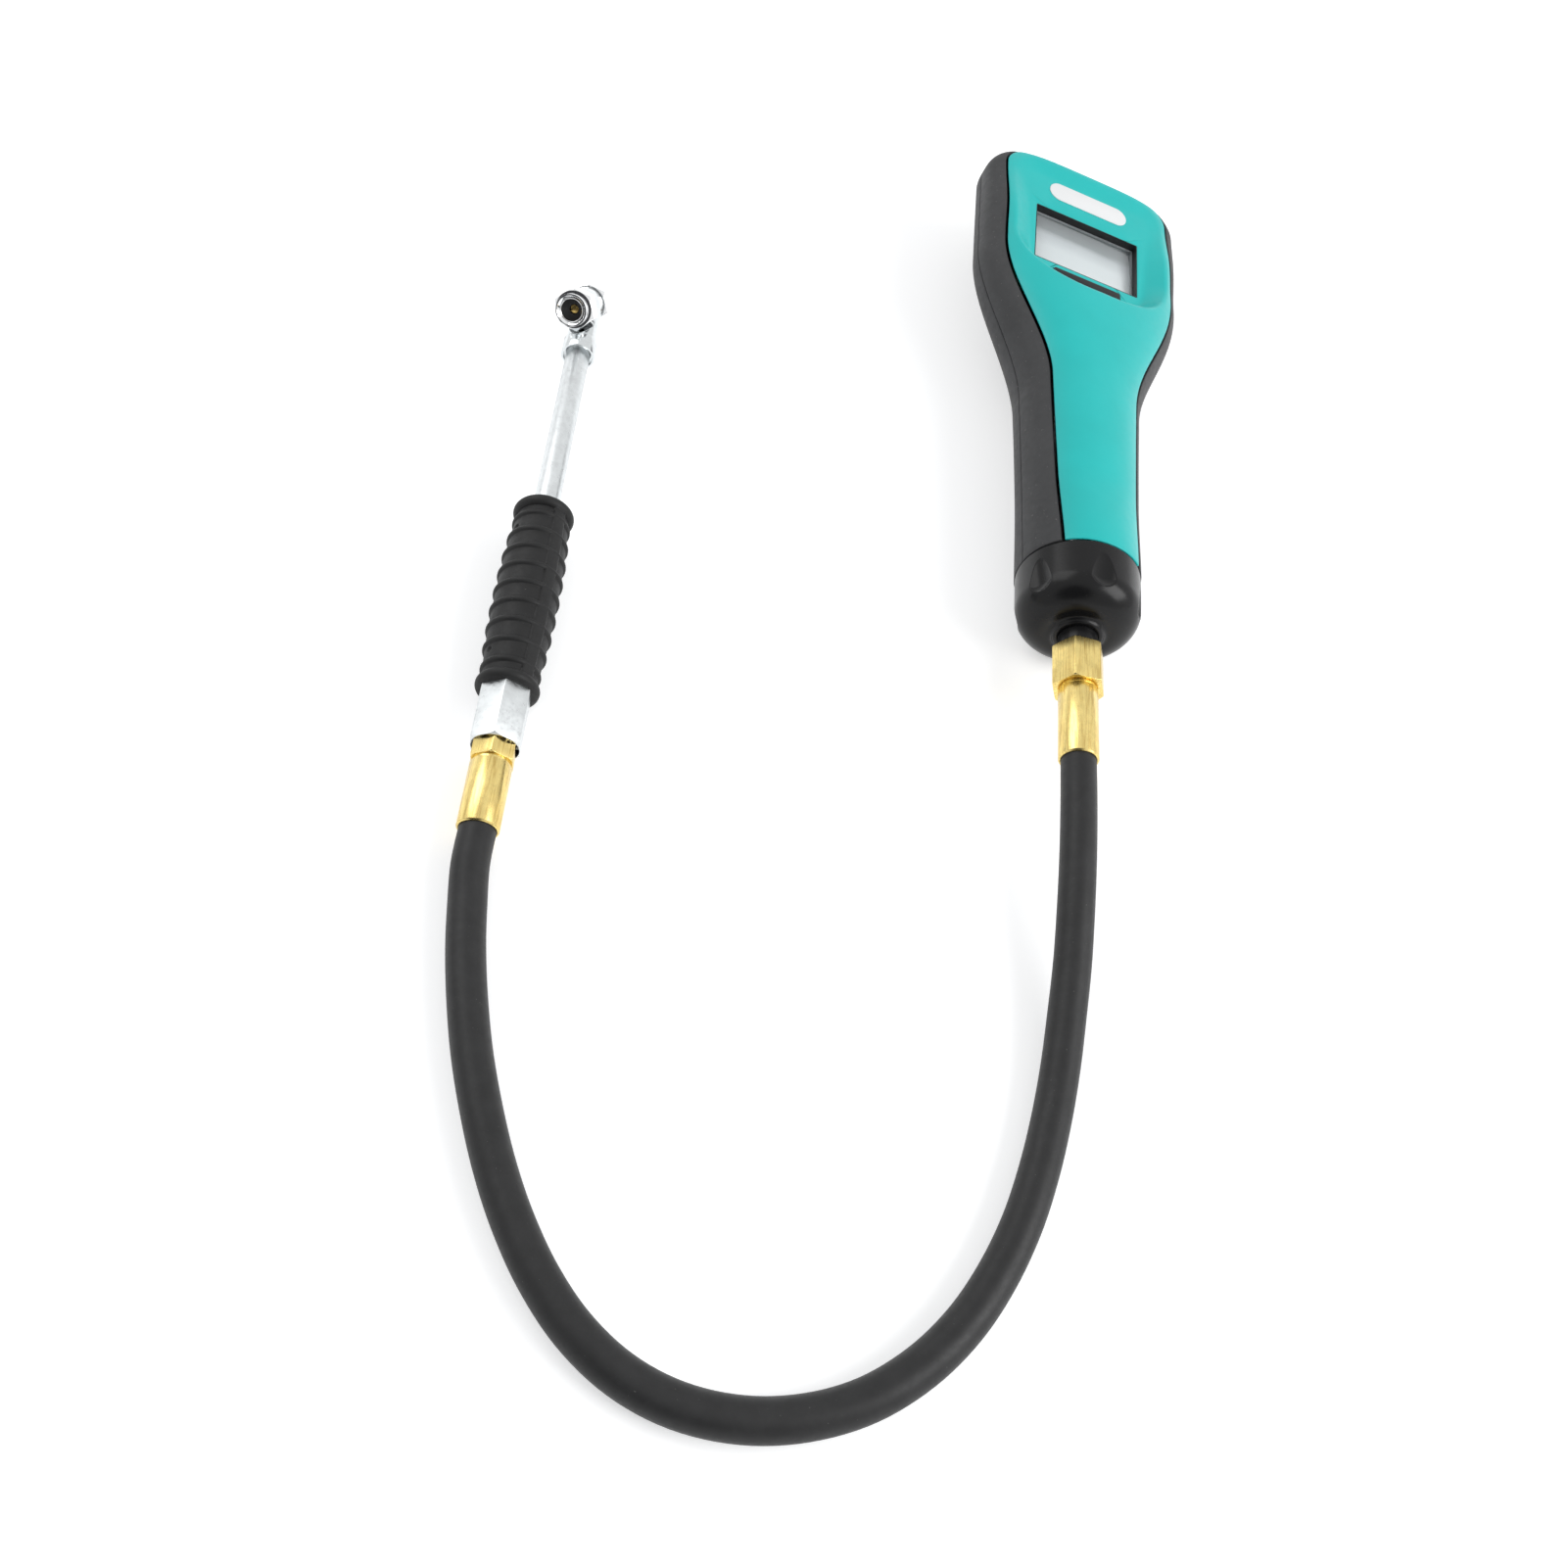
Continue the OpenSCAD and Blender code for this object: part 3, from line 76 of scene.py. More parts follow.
# ---- camera ----
def add_camera():
    right = Vector((0.98462, 0.0935, 0.14761))
    up = Vector((-0.16122, 0.8119, 0.56105))
    back = -Vector((0.06739, 0.5762, -0.81451))
    lens = bpy.data.cameras.new("camera")
    lens.lens = 36.11
    lens.sensor_width = 36.0
    lens.clip_end = 20.0
    camera = bpy.data.objects.new("camera", lens)
    turn = Matrix((right, up, back)).transposed().to_4x4()
    camera.matrix_world = Matrix.Translation((-0.0540, -0.4791, 0.4628)) @ turn
    bpy.context.scene.collection.objects.link(camera)
    bpy.context.scene.camera = camera


add_camera()


# ---- materials ----
def new_material(name):
    mat = bpy.data.materials.new(name)
    mat.use_nodes = True
    return mat, mat.node_tree.nodes, mat.node_tree.links


def shader_of(mat, colour, roughness, metallic=0.0, **sockets):
    """Sets the plain values of a material's shader, and returns the shader."""
    shader = mat.node_tree.nodes["Principled BSDF"]
    shader.inputs["Base Color"].default_value = (*colour, 1.0)
    shader.inputs["Roughness"].default_value = roughness
    shader.inputs["Metallic"].default_value = metallic
    for name, value in sockets.items():
        shader.inputs[name.replace("_", " ")].default_value = value
    return shader


def own_coordinates(mat, placing, stretch=(1.0, 1.0, 1.0)):
    """Object coordinates turned into a part's own frame, in millimetres, and stretched."""
    nodes, links = mat.node_tree.nodes, mat.node_tree.links
    spot, turn, scale = placing.inverted().decompose()
    coords = nodes.new("ShaderNodeTexCoord")
    turned = nodes.new("ShaderNodeMapping")
    turned.inputs["Location"].default_value = spot
    turned.inputs["Rotation"].default_value = turn.to_euler()
    turned.inputs["Scale"].default_value = scale
    links.new(coords.outputs["Object"], turned.inputs["Vector"])
    stretched = nodes.new("ShaderNodeMapping")
    stretched.inputs["Scale"].default_value = stretch
    links.new(turned.outputs["Vector"], stretched.inputs["Vector"])
    return stretched.outputs["Vector"]


def noise(mat, vector, scale, detail=3.0, rough=0.55):
    node = mat.node_tree.nodes.new("ShaderNodeTexNoise")
    node.inputs["Scale"].default_value = scale
    node.inputs["Detail"].default_value = detail
    node.inputs["Roughness"].default_value = rough
    mat.node_tree.links.new(vector, node.inputs["Vector"])
    return node.outputs["Fac"]


def ramp(mat, value, *stops):
    """A colour or grey ramp. Each stop is a place from 0 to 1 and a grey or a colour."""
    node = mat.node_tree.nodes.new("ShaderNodeValToRGB")
    marks = node.color_ramp.elements
    while len(marks) < len(stops):
        marks.new(0.5)
    for mark, (place, colour) in zip(marks, stops):
        mark.position = place
        mark.color = (*colour, 1.0) if isinstance(colour, tuple) else (colour, colour, colour, 1.0)
    mat.node_tree.links.new(value, node.inputs["Fac"])
    return node.outputs["Color"]


def blend(mat, share, first, second, mode="MIX"):
    node = mat.node_tree.nodes.new("ShaderNodeMix")
    node.data_type = "RGBA"
    node.blend_type = mode
    for socket, value in ((node.inputs[0], share), (node.inputs[6], first), (node.inputs[7], second)):
        if isinstance(value, bpy.types.NodeSocket):
            mat.node_tree.links.new(value, socket)
        elif isinstance(value, tuple):
            socket.default_value = (*value, 1.0)
        else:
            socket.default_value = value
    return node.outputs[2]


def math_node(mat, operation, first, second=0.0):
    node = mat.node_tree.nodes.new("ShaderNodeMath")
    node.operation = operation
    for socket, value in ((node.inputs[0], first), (node.inputs[1], second)):
        if isinstance(value, bpy.types.NodeSocket):
            mat.node_tree.links.new(value, socket)
        else:
            socket.default_value = value
    return node.outputs[0]


def add_bump(mat, height, strength, depth_mm):
    shader = mat.node_tree.nodes["Principled BSDF"]
    node = mat.node_tree.nodes.new("ShaderNodeBump")
    node.inputs["Strength"].default_value = strength
    node.inputs["Distance"].default_value = depth_mm * MM
    mat.node_tree.links.new(height, node.inputs["Height"])
    mat.node_tree.links.new(node.outputs["Normal"], shader.inputs["Normal"])


def moulded_plastic(name, colour, roughness, grain, speck=None, shade=0.08, placing=GAUGE, **sockets):
    """Moulded plastic: a fine grain, a little unevenness in shade and gloss, and light dust specks."""
    mat, nodes, links = new_material(name)
    shader = shader_of(mat, colour, roughness, **sockets)
    place = own_coordinates(mat, placing)
    cloud = noise(mat, place, 0.05, 4.0)
    dark = tuple(c * (1.0 - shade) for c in colour)
    light = tuple(c * (1.0 + shade) for c in colour)
    tone = ramp(mat, cloud, (0.3, dark), (0.7, light))
    if speck:
        spots = ramp(mat, noise(mat, place, 0.9, 2.0), (0.70, 0.0), (0.76, 1.0))
        tone = blend(mat, spots, tone, speck)
    links.new(tone, shader.inputs["Base Color"])
    gloss = ramp(mat, noise(mat, place, 0.35, 4.0), (0.3, roughness * 0.9), (0.7, roughness * 1.12))
    links.new(gloss, shader.inputs["Roughness"])
    add_bump(mat, noise(mat, place, 4.0, 3.0), grain, 0.05)
    return mat


def drawn_metal(name, colour, dark, roughness, placing, pits=0.35, **sockets):
    """Turned or drawn metal: fine streaks along the part, blotches and small dark pits."""
    mat, nodes, links = new_material(name)
    shader = shader_of(mat, colour, roughness, 1.0, **sockets)
    streaks = noise(mat, own_coordinates(mat, placing, (1.0, 0.045, 1.0)), 1.6, 5.0, 0.7)
    place = own_coordinates(mat, placing)
    tone = ramp(mat, streaks, (0.30, dark), (0.52, colour), (0.75, tuple(min(c * 1.1, 1.0) for c in colour)))
    blotch = ramp(mat, noise(mat, place, 0.22, 3.0), (0.35, 0.86), (0.65, 1.0))
    tone = blend(mat, 1.0, tone, blotch, "MULTIPLY")
    pit = ramp(mat, noise(mat, place, 1.3, 4.0, 0.7), (0.30, pits), (0.38, 0.0))
    tone = blend(mat, pit, tone, tuple(c * 0.25 for c in dark))
    links.new(tone, shader.inputs["Base Color"])
    links.new(ramp(mat, streaks, (0.3, roughness * 1.35), (0.7, roughness * 0.8)), shader.inputs["Roughness"])
    add_bump(mat, streaks, 0.25, 0.03)
    return mat


def plated_metal(name, colour, roughness, mottle, placing, **sockets):
    """Zinc or chrome plating: bright, with a faint mottle in its colour and its gloss."""
    mat, nodes, links = new_material(name)
    shader = shader_of(mat, colour, roughness, 1.0, **sockets)
    place = own_coordinates(mat, placing)
    grey = tuple(c * (1.0 - mottle) for c in colour)
    cloud = noise(mat, place, 0.30, 5.0, 0.65)
    links.new(ramp(mat, cloud, (0.35, grey), (0.62, colour)), shader.inputs["Base Color"])
    gloss = ramp(mat, noise(mat, place, 0.8, 4.0), (0.3, roughness * 0.75), (0.7, roughness * 1.3))
    links.new(gloss, shader.inputs["Roughness"])
    add_bump(mat, noise(mat, place, 2.5, 3.0), 0.12 * mottle / 0.1, 0.02)
    return mat


def rubber(name, colour, roughness, placing, grain=0.35, **sockets):
    """Moulded rubber: matt, with a fine skin, dusty patches and small light specks."""
    mat, nodes, links = new_material(name)
    shader = shader_of(mat, colour, roughness, **sockets)
    place = own_coordinates(mat, placing)
    dusty = tuple(c * 1.5 for c in colour)
    tone = ramp(mat, noise(mat, place, 0.12, 5.0, 0.65), (0.35, colour), (0.75, dusty))
    spots = ramp(mat, noise(mat, place, 1.1, 2.0), (0.73, 0.0), (0.78, 0.5))
    tone = blend(mat, spots, tone, (0.16, 0.16, 0.15))
    links.new(tone, shader.inputs["Base Color"])
    gloss = ramp(mat, noise(mat, place, 0.5, 4.0), (0.3, roughness * 0.9), (0.7, roughness * 1.1))
    links.new(gloss, shader.inputs["Roughness"])
    add_bump(mat, noise(mat, place, 3.2, 4.0, 0.6), grain, 0.06)
    return mat


def clear_lens():
    """A thin clear window: it lets light straight through and mirrors a little, more at a slant."""
    mat, nodes, links = new_material("clear_lens")
    through = nodes.new("ShaderNodeBsdfTransparent")
    through.inputs["Color"].default_value = (0.97, 0.98, 0.98, 1.0)
    mirror = nodes.new("ShaderNodeBsdfGlossy")
    smear = noise(mat, own_coordinates(mat, GAUGE), 0.25, 4.0)
    links.new(ramp(mat, smear, (0.4, 0.03), (0.8, 0.09)), mirror.inputs["Roughness"])
    slant = nodes.new("ShaderNodeFresnel")
    slant.inputs["IOR"].default_value = 1.4
    side = nodes.new("ShaderNodeNewGeometry")
    outside = math_node(mat, "SUBTRACT", 1.0, side.outputs["Backfacing"])
    both = nodes.new("ShaderNodeMixShader")
    links.new(math_node(mat, "MULTIPLY", slant.outputs["Fac"], outside), both.inputs[0])
    links.new(through.outputs["BSDF"], both.inputs[1])
    links.new(mirror.outputs["BSDF"], both.inputs[2])
    links.new(both.outputs["Shader"], nodes["Material Output"].inputs["Surface"])
    nodes.remove(nodes["Principled BSDF"])
    return mat


def display_glass():
    """The display's grey panel, with painted shade that darkens it towards its top, under the window's top
    wall.
    """
    mat, nodes, links = new_material("display_glass")
    shader = shader_of(mat, (0.7, 0.72, 0.72), 0.22, Coat_Weight=0.6, Coat_Roughness=0.05)
    place = own_coordinates(mat, GAUGE)
    parts = nodes.new("ShaderNodeSeparateXYZ")
    links.new(place, parts.inputs["Vector"])
    along = math_node(mat, "DIVIDE", math_node(mat, "SUBTRACT", parts.outputs["Y"], 257.9), 35.0)
    cloud = math_node(mat, "MULTIPLY", noise(mat, place, 0.08, 3.0), 0.08)
    # painted shade: this ramp darkens the panel towards its top, where the window's top wall shades it
    shade = ramp(mat, math_node(mat, "ADD", along, cloud),
                 (0.0, (0.86, 0.88, 0.89)), (0.50, (0.80, 0.82, 0.83)),
                 (0.70, (0.62, 0.64, 0.66)), (0.80, (0.42, 0.44, 0.45)), (1.0, (0.34, 0.35, 0.36)))
    links.new(shade, shader.inputs["Base Color"])
    return mat


def circuit_green():
    mat, nodes, links = new_material("circuit_green")
    shader = shader_of(mat, (0.01, 0.10, 0.04), 0.35)
    place = own_coordinates(mat, GAUGE)
    cells = nodes.new("ShaderNodeTexBrick")
    cells.inputs["Scale"].default_value = 0.25
    cells.inputs["Mortar Size"].default_value = 0.03
    cells.inputs["Color1"].default_value = (0.01, 0.11, 0.045, 1.0)
    cells.inputs["Color2"].default_value = (0.012, 0.085, 0.035, 1.0)
    cells.inputs["Mortar"].default_value = (0.05, 0.24, 0.10, 1.0)
    links.new(place, cells.inputs["Vector"])
    links.new(cells.outputs["Color"], shader.inputs["Base Color"])
    return mat


def cell_wrap():
    """Foil wrap of the cells, with a darker band towards one end."""
    mat, nodes, links = new_material("cell_wrap")
    shader = shader_of(mat, (0.5, 0.35, 0.1), 0.3, 0.6)
    place = own_coordinates(mat, GAUGE)
    parts = nodes.new("ShaderNodeSeparateXYZ")
    links.new(place, parts.inputs["Vector"])
    along = math_node(mat, "DIVIDE", math_node(mat, "SUBTRACT", parts.outputs["Y"], 245.0), 60.0)
    tone = ramp(mat, along,
                (0.0, (0.03, 0.03, 0.035)), (0.58, (0.03, 0.03, 0.035)), (0.60, (0.62, 0.40, 0.12)))
    links.new(tone, shader.inputs["Base Color"])
    return mat


TEAL = (0.016, 0.52, 0.50)
CHARCOAL = (0.046, 0.0465, 0.0485)
BRASS = (0.93, 0.73, 0.28)
BRASS_DARK = (0.58, 0.38, 0.10)
teal_plastic = moulded_plastic("teal_plastic", TEAL, 0.36, 0.08, shade=0.03, Specular_IOR_Level=0.35)
charcoal_plastic = moulded_plastic("charcoal_plastic", CHARCOAL, 0.55, 0.45, speck=(0.16, 0.15, 0.14),
                                   Specular_IOR_Level=0.3)
gloss_black = moulded_plastic("gloss_black", (0.008, 0.008, 0.0085), 0.24, 0.04, speck=(0.03, 0.03, 0.03),
                              Specular_IOR_Level=0.22)
satin_black = moulded_plastic("satin_black", (0.012, 0.012, 0.013), 0.42, 0.15, Specular_IOR_Level=0.3)
white_label = moulded_plastic("white_label", (0.86, 0.86, 0.86), 0.35, 0.05, shade=0.01)
window_black = moulded_plastic("window_black", (0.010, 0.010, 0.011), 0.5, 0.1)
inner_grey = moulded_plastic("inner_grey", (0.30, 0.31, 0.32), 0.4, 0.1)
seal_rubber = rubber("seal_rubber", (0.012, 0.012, 0.012), 0.6, GAUGE)
nylon = moulded_plastic("nylon", (0.70, 0.71, 0.68), 0.4, 0.1)
grip_rubber = rubber("grip_rubber", (0.012, 0.012, 0.0122), 0.55, WAND, Specular_IOR_Level=0.3)
hose_rubber = rubber("hose_rubber", (0.018, 0.018, 0.0184), 0.48, WAND, 0.2, Specular_IOR_Level=0.3)
gauge_brass = drawn_metal("gauge_brass", BRASS, BRASS_DARK, 0.24, GAUGE)
wand_brass = drawn_metal("wand_brass", BRASS, BRASS_DARK, 0.24, WAND)
pin_brass = drawn_metal("pin_brass", (0.80, 0.58, 0.20), BRASS_DARK, 0.22, CHUCK)
zinc = plated_metal("zinc", (0.78, 0.81, 0.82), 0.34, 0.12, WAND)
chrome = plated_metal("chrome", (0.90, 0.91, 0.92), 0.07, 0.02, CHUCK)
plated_casting = plated_metal("plated_casting", (0.74, 0.77, 0.78), 0.20, 0.06, CHUCK)
cast_aluminium = plated_metal("cast_aluminium", (0.62, 0.63, 0.65), 0.4, 0.2, GAUGE)
screw_steel = plated_metal("screw_steel", (0.66, 0.66, 0.68), 0.25, 0.12, GAUGE)
spring_steel = plated_metal("spring_steel", (0.55, 0.56, 0.58), 0.25, 0.1, GAUGE)


# ---- helpers for meshes ----
def new_piece(name, bm, placing, body, mat, replaces=(), sharp=32.0, recalc=True):
    """Puts a mesh that was made in a part's own frame into the model, riding on its body."""
    bmesh.ops.transform(bm, matrix=placing, verts=bm.verts)
    if recalc:
        bmesh.ops.recalc_face_normals(bm, faces=bm.faces)
    mesh = bpy.data.meshes.new(name)
    bm.to_mesh(mesh)
    bm.free()
    mesh.materials.append(mat)
    piece = bpy.data.objects.new(name, mesh)
    bpy.context.scene.collection.objects.link(piece)
    smooth_faces(piece, sharp)
    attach(piece, body)
    if replaces:
        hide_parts(*replaces)
    return piece


def smooth_faces(piece, sharp):
    mesh = piece.data
    mesh.polygons.foreach_set("use_smooth", [True] * len(mesh.polygons))
    mesh.set_sharp_from_angle(angle=math.radians(sharp))


def apply_modifiers(piece, sharp=32.0):
    """Replaces a piece's mesh by what its modifiers make of it."""
    depsgraph = bpy.context.evaluated_depsgraph_get()
    mesh = bpy.data.meshes.new_from_object(piece.evaluated_get(depsgraph))
    piece.modifiers.clear()
    piece.data = mesh
    smooth_faces(piece, sharp)


def wall_of(piece, thickness_mm):
    wall = piece.modifiers.new("wall", "SOLIDIFY")
    wall.thickness = thickness_mm * MM
    wall.offset = -1.0
    wall.use_even_offset = False
    wall.use_quality_normals = True
    apply_modifiers(piece)


def cut_with(piece, cutters, operation="DIFFERENCE"):
    """Cuts a piece with meshes, or joins them to it, and throws the cutters away."""
    for cutter in cutters:
        step = piece.modifiers.new("cut", "BOOLEAN")
        step.object = cutter
        step.operation = operation
        step.solver = "EXACT"
    apply_modifiers(piece)
    for cutter in cutters:
        bpy.data.objects.remove(cutter)


def ease_edges(piece, width_mm, angle=50.0, steps=3):
    ease = piece.modifiers.new("ease", "BEVEL")
    ease.width = width_mm * MM
    ease.segments = steps
    ease.limit_method = "ANGLE"
    ease.angle_limit = math.radians(angle)
    ease.use_clamp_overlap = False
    ease.miter_outer = "MITER_ARC"
    apply_modifiers(piece)


def tool(bm, placing=GAUGE):
    """A cutter, placed but not part of the model."""
    bmesh.ops.transform(bm, matrix=placing, verts=bm.verts)
    bmesh.ops.recalc_face_normals(bm, faces=bm.faces)
    mesh = bpy.data.meshes.new("tool")
    bm.to_mesh(mesh)
    bm.free()
    cutter = bpy.data.objects.new("tool", mesh)
    bpy.context.scene.collection.objects.link(cutter)
    cutter.hide_render = True
    return cutter


def block(width, length, height, spot, corner=0.0, tilt=0.0):
    """A box centred at spot, its upright edges rounded."""
    bm = bmesh.new()
    bmesh.ops.create_cube(bm, size=1.0)
    bmesh.ops.scale(bm, vec=(width, length, height), verts=bm.verts)
    if corner:
        upright = [e for e in bm.edges if abs((e.verts[0].co - e.verts[1].co).z) > height * 0.5]
        bmesh.ops.bevel(bm, geom=upright, offset=corner, offset_type="OFFSET", segments=8, profile=0.5,
                        affect="EDGES", clamp_overlap=True, material=-1)
    turn = Matrix.Rotation(math.radians(tilt), 4, "X")
    bmesh.ops.transform(bm, matrix=Matrix.Translation(spot) @ turn, verts=bm.verts)
    return bm


def rod(radius, y0, y1, x=0.0, z=0.0, axis="Y", steps=48):
    """A round bar along y, or along z from y0 to y1 when axis is Z."""
    bm = bmesh.new()
    bmesh.ops.create_cone(bm, cap_ends=True, segments=steps, radius1=radius, radius2=radius, depth=y1 - y0)
    if axis == "Y":
        bmesh.ops.rotate(bm, matrix=Matrix.Rotation(math.radians(-90), 3, "X"), verts=bm.verts)
        bmesh.ops.translate(bm, vec=(x, (y0 + y1) / 2, z), verts=bm.verts)
    else:
        bmesh.ops.translate(bm, vec=(x, z, (y0 + y1) / 2), verts=bm.verts)
    return bm


def turned(profile, steps, closed=True):
    """A profile of (y, radius) points spun round the y axis."""
    bm = bmesh.new()
    verts = [bm.verts.new((r, y, 0.0)) for y, r in profile]
    pairs = list(zip(verts, verts[1:]))
    if closed:
        pairs.append((verts[-1], verts[0]))
    edges = [bm.edges.new(pair) for pair in pairs]
    bmesh.ops.spin(bm, geom=verts + edges, axis=(0, 1, 0), cent=(0, 0, 0), angle=math.tau, steps=steps,
                   use_merge=True)
    bmesh.ops.remove_doubles(bm, verts=bm.verts, dist=0.0005)
    bmesh.ops.recalc_face_normals(bm, faces=bm.faces)
    return bm


def softened(node, width_mm, mat, sharp=28.0, steps=2, name=None):
    """A CAD solid's own mesh, merged, with its hard outer edges eased."""
    source = frame["nodes"][node]
    bm = bmesh.new()
    bm.from_mesh(source.data)
    bmesh.ops.remove_doubles(bm, verts=bm.verts, dist=2e-6)
    bmesh.ops.dissolve_limit(bm, angle_limit=math.radians(0.8), verts=bm.verts, edges=bm.edges)
    hard = [e for e in bm.edges if len(e.link_faces) == 2 and e.is_convex
            and e.calc_face_angle(0.0) > math.radians(sharp)]
    bmesh.ops.bevel(bm, geom=hard, offset=width_mm * MM, offset_type="OFFSET", segments=steps, profile=0.5,
                    affect="EDGES", clamp_overlap=True, material=-1)
    return new_piece(name or f"{node}_finished", bm, Matrix.Identity(4), source["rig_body"], mat,
                     (node,), recalc=False)


# ---- form of the housing, in the gauge's own frame ----
HOUSING_Y = 85.5
HOUSING_END = 327.0
COVER_END = 325.8
CAP_R = 24.15
HEAD_R = 14.0
SHOULDER = (173.2, 261.2)
FLAT_Y = 151.7
LIP = (178.5, 231.5)
TOP_SLOPE = (263.2, 313.2)
FLOOR_Y = 277.2
FLOOR_Z = 11.04
FLOOR_TILT = math.tan(math.radians(2.6))
NECKLINE = 228.0
WINDOW_Y = 275.4
BUTTON_Y = 251.5


def smooth(a, b, y):
    t = min(max((y - a) / (b - a), 0.0), 1.0)
    return t * t * (3.0 - 2.0 * t)


def turn_in(r, y):
    t = min(max((y - HOUSING_END + r) / r, 0.0), 1.0)
    return r * (1.0 - math.sqrt(1.0 - t * t))


def half_w(y):
    handle = CAP_R + 2.9 * ((min(y, SHOULDER[0]) - HOUSING_Y) / (SHOULDER[0] - HOUSING_Y)) ** 1.3
    return handle + (49.0 - handle) * smooth(*SHOULDER, y) - turn_in(HEAD_R, y)


def front_z(y):
    handle = CAP_R + (21.7 - CAP_R) * smooth(85.5, 125.5, y)
    return handle + (23.4 - handle) * smooth(*LIP, y) - 8.8 * smooth(*TOP_SLOPE, y) - turn_in(4.0, y)


def rear_z(y):
    handle = CAP_R + (21.9 - CAP_R) * smooth(85.5, 125.5, y)
    return handle + (18.8 - handle) * smooth(FLAT_Y, SHOULDER[1], y) - turn_in(4.0, y)


def front_power(y):
    return 2.1 + 0.1 * smooth(FLAT_Y, LIP[1], y) + 1.8 * smooth(*TOP_SLOPE, y)


def rear_power(y):
    return 2.1 + 0.74 * smooth(FLAT_Y, SHOULDER[1], y)


def front_height(x, y):
    share = min(abs(x) / half_w(y), 1.0)
    return front_z(y) * (1.0 - share ** front_power(y)) ** (1.0 / front_power(y))


def cover_w(y):
    foot = 16.5 + 0.04 * (y - HOUSING_Y)
    return foot + (41.8 - foot) * smooth(SHOULDER[0] + 6.0, SHOULDER[1] - 2.0, y)


def floor_height(y):
    return FLOOR_Z + (y - FLOOR_Y) * FLOOR_TILT


# ---- front cover ----
CORNER_R = 11.0


def outside_cover(x, y, grow):
    """How far a point is outside the cover's outline, which is grown by a margin."""
    corner_y = COVER_END - CORNER_R
    corner_x = cover_w(corner_y) - CORNER_R
    if abs(x) > corner_x and y > corner_y:
        return math.hypot(abs(x) - corner_x, y - corner_y) - CORNER_R - grow
    return max(abs(x) - cover_w(y) - grow, y - COVER_END - grow)


def cover_point(angle, grow):
    """Where a ray from the recess's middle leaves the cover."""
    step = Vector((math.cos(angle), math.sin(angle)))
    near, far = 0.0, 90.0
    for _ in range(40):
        middle = (near + far) / 2
        if outside_cover(middle * step.x, FLOOR_Y + middle * step.y, grow) < 0:
            near = middle
        else:
            far = middle
    return Vector((near * step.x, FLOOR_Y + near * step.y))


# Circles whose hull is the outline of the bowl's crest or of its foot: place and radius
CREST_ROUNDS = ((26.4, 310.2, 12.0), (-26.4, 310.2, 12.0), (3.0, 267.6, 35.4), (-3.0, 267.6, 35.4))
FOOT_ROUNDS = ((26.0, 308.2, 6.0), (-26.0, 308.2, 6.0), (14.5, 259.2, 14.0), (-14.5, 259.2, 14.0))


def rounds_loop(rounds):
    """The outline round a set of circles, as points close together."""
    loop = []
    for k in range(1440):
        a = math.tau * k / 1440
        out = Vector((math.cos(a), math.sin(a)))
        x, y, r = max(rounds, key=lambda c: c[0] * out.x + c[1] * out.y + c[2])
        loop.append(Vector((x, y)) + r * out)
    return loop


def loop_at(loop, angle):
    """The outline's point on a ray from the recess's middle."""
    step = Vector((math.cos(angle), math.sin(angle)))
    middle = Vector((0.0, FLOOR_Y))
    for p, q in zip(loop, loop[1:] + loop[:1]):
        side_p = step.cross(p - middle)
        side_q = step.cross(q - middle)
        if side_p <= 0.0 < side_q and (p - middle).dot(step) > 0:
            return p.lerp(q, side_p / (side_p - side_q))
    raise ValueError("the ray misses the outline")


RIM_RINGS = 9
BEND_RINGS = 5
SLOPE_RINGS = 5
CREST_SOFT = 1.5
FOOT_SOFT = 1.8


def ray_angles():
    """Angles of the rays: evenly across the neckline, then evenly round the head."""
    foot = cover_w(NECKLINE) - 0.3
    drop = FLOOR_Y - NECKLINE
    across = [-foot + 2 * foot * k / 40 for k in range(41)]
    below = [math.atan2(-drop, x) for x in across]
    start = below[-1]
    turn = math.tau - (below[-1] - below[0])
    round_head = [start + turn * k / 300 for k in range(1, 300)]
    return below + round_head


def on_skin(place):
    return Vector((place.x, place.y, front_height(place.x, place.y)))


def on_floor(place):
    return Vector((place.x, place.y, floor_height(place.y)))


def bend(a, b, c):
    """A soft corner at b, on the way from a to c."""
    shares = [k / BEND_RINGS for k in range(BEND_RINGS + 1)]
    return [a.lerp(b, t).lerp(b.lerp(c, t), t) for t in shares]


# Rings across the bowl's floor, as shares of the way out from its middle
FLOOR_SHARES = (0.7, 0.4, 0.05)


def ray_line(outer, crest, foot):
    """One ray's points: over the skin to the crest, down the bowl's side and onto its floor."""
    inward = (foot - crest).normalized()
    lip, base = on_skin(crest), on_floor(foot)
    down = (base - lip).normalized()
    over = min(CREST_SOFT, 0.6 * (crest - outer).length)
    start = on_skin(crest - inward * over)
    skin = [on_skin(outer.lerp(start.xy, k / RIM_RINGS)) for k in range(RIM_RINGS)]
    edge = bend(start, lip, lip + down * CREST_SOFT)
    landing = bend(base - down * FOOT_SOFT, base, on_floor(foot + inward * FOOT_SOFT))
    slope = [edge[-1].lerp(landing[0], k / SLOPE_RINGS) for k in range(1, SLOPE_RINGS)]
    middle = Vector((0.0, FLOOR_Y))
    flat = [on_floor(middle.lerp(landing[-1].xy, share)) for share in FLOOR_SHARES]
    return skin + edge + slope + landing + flat


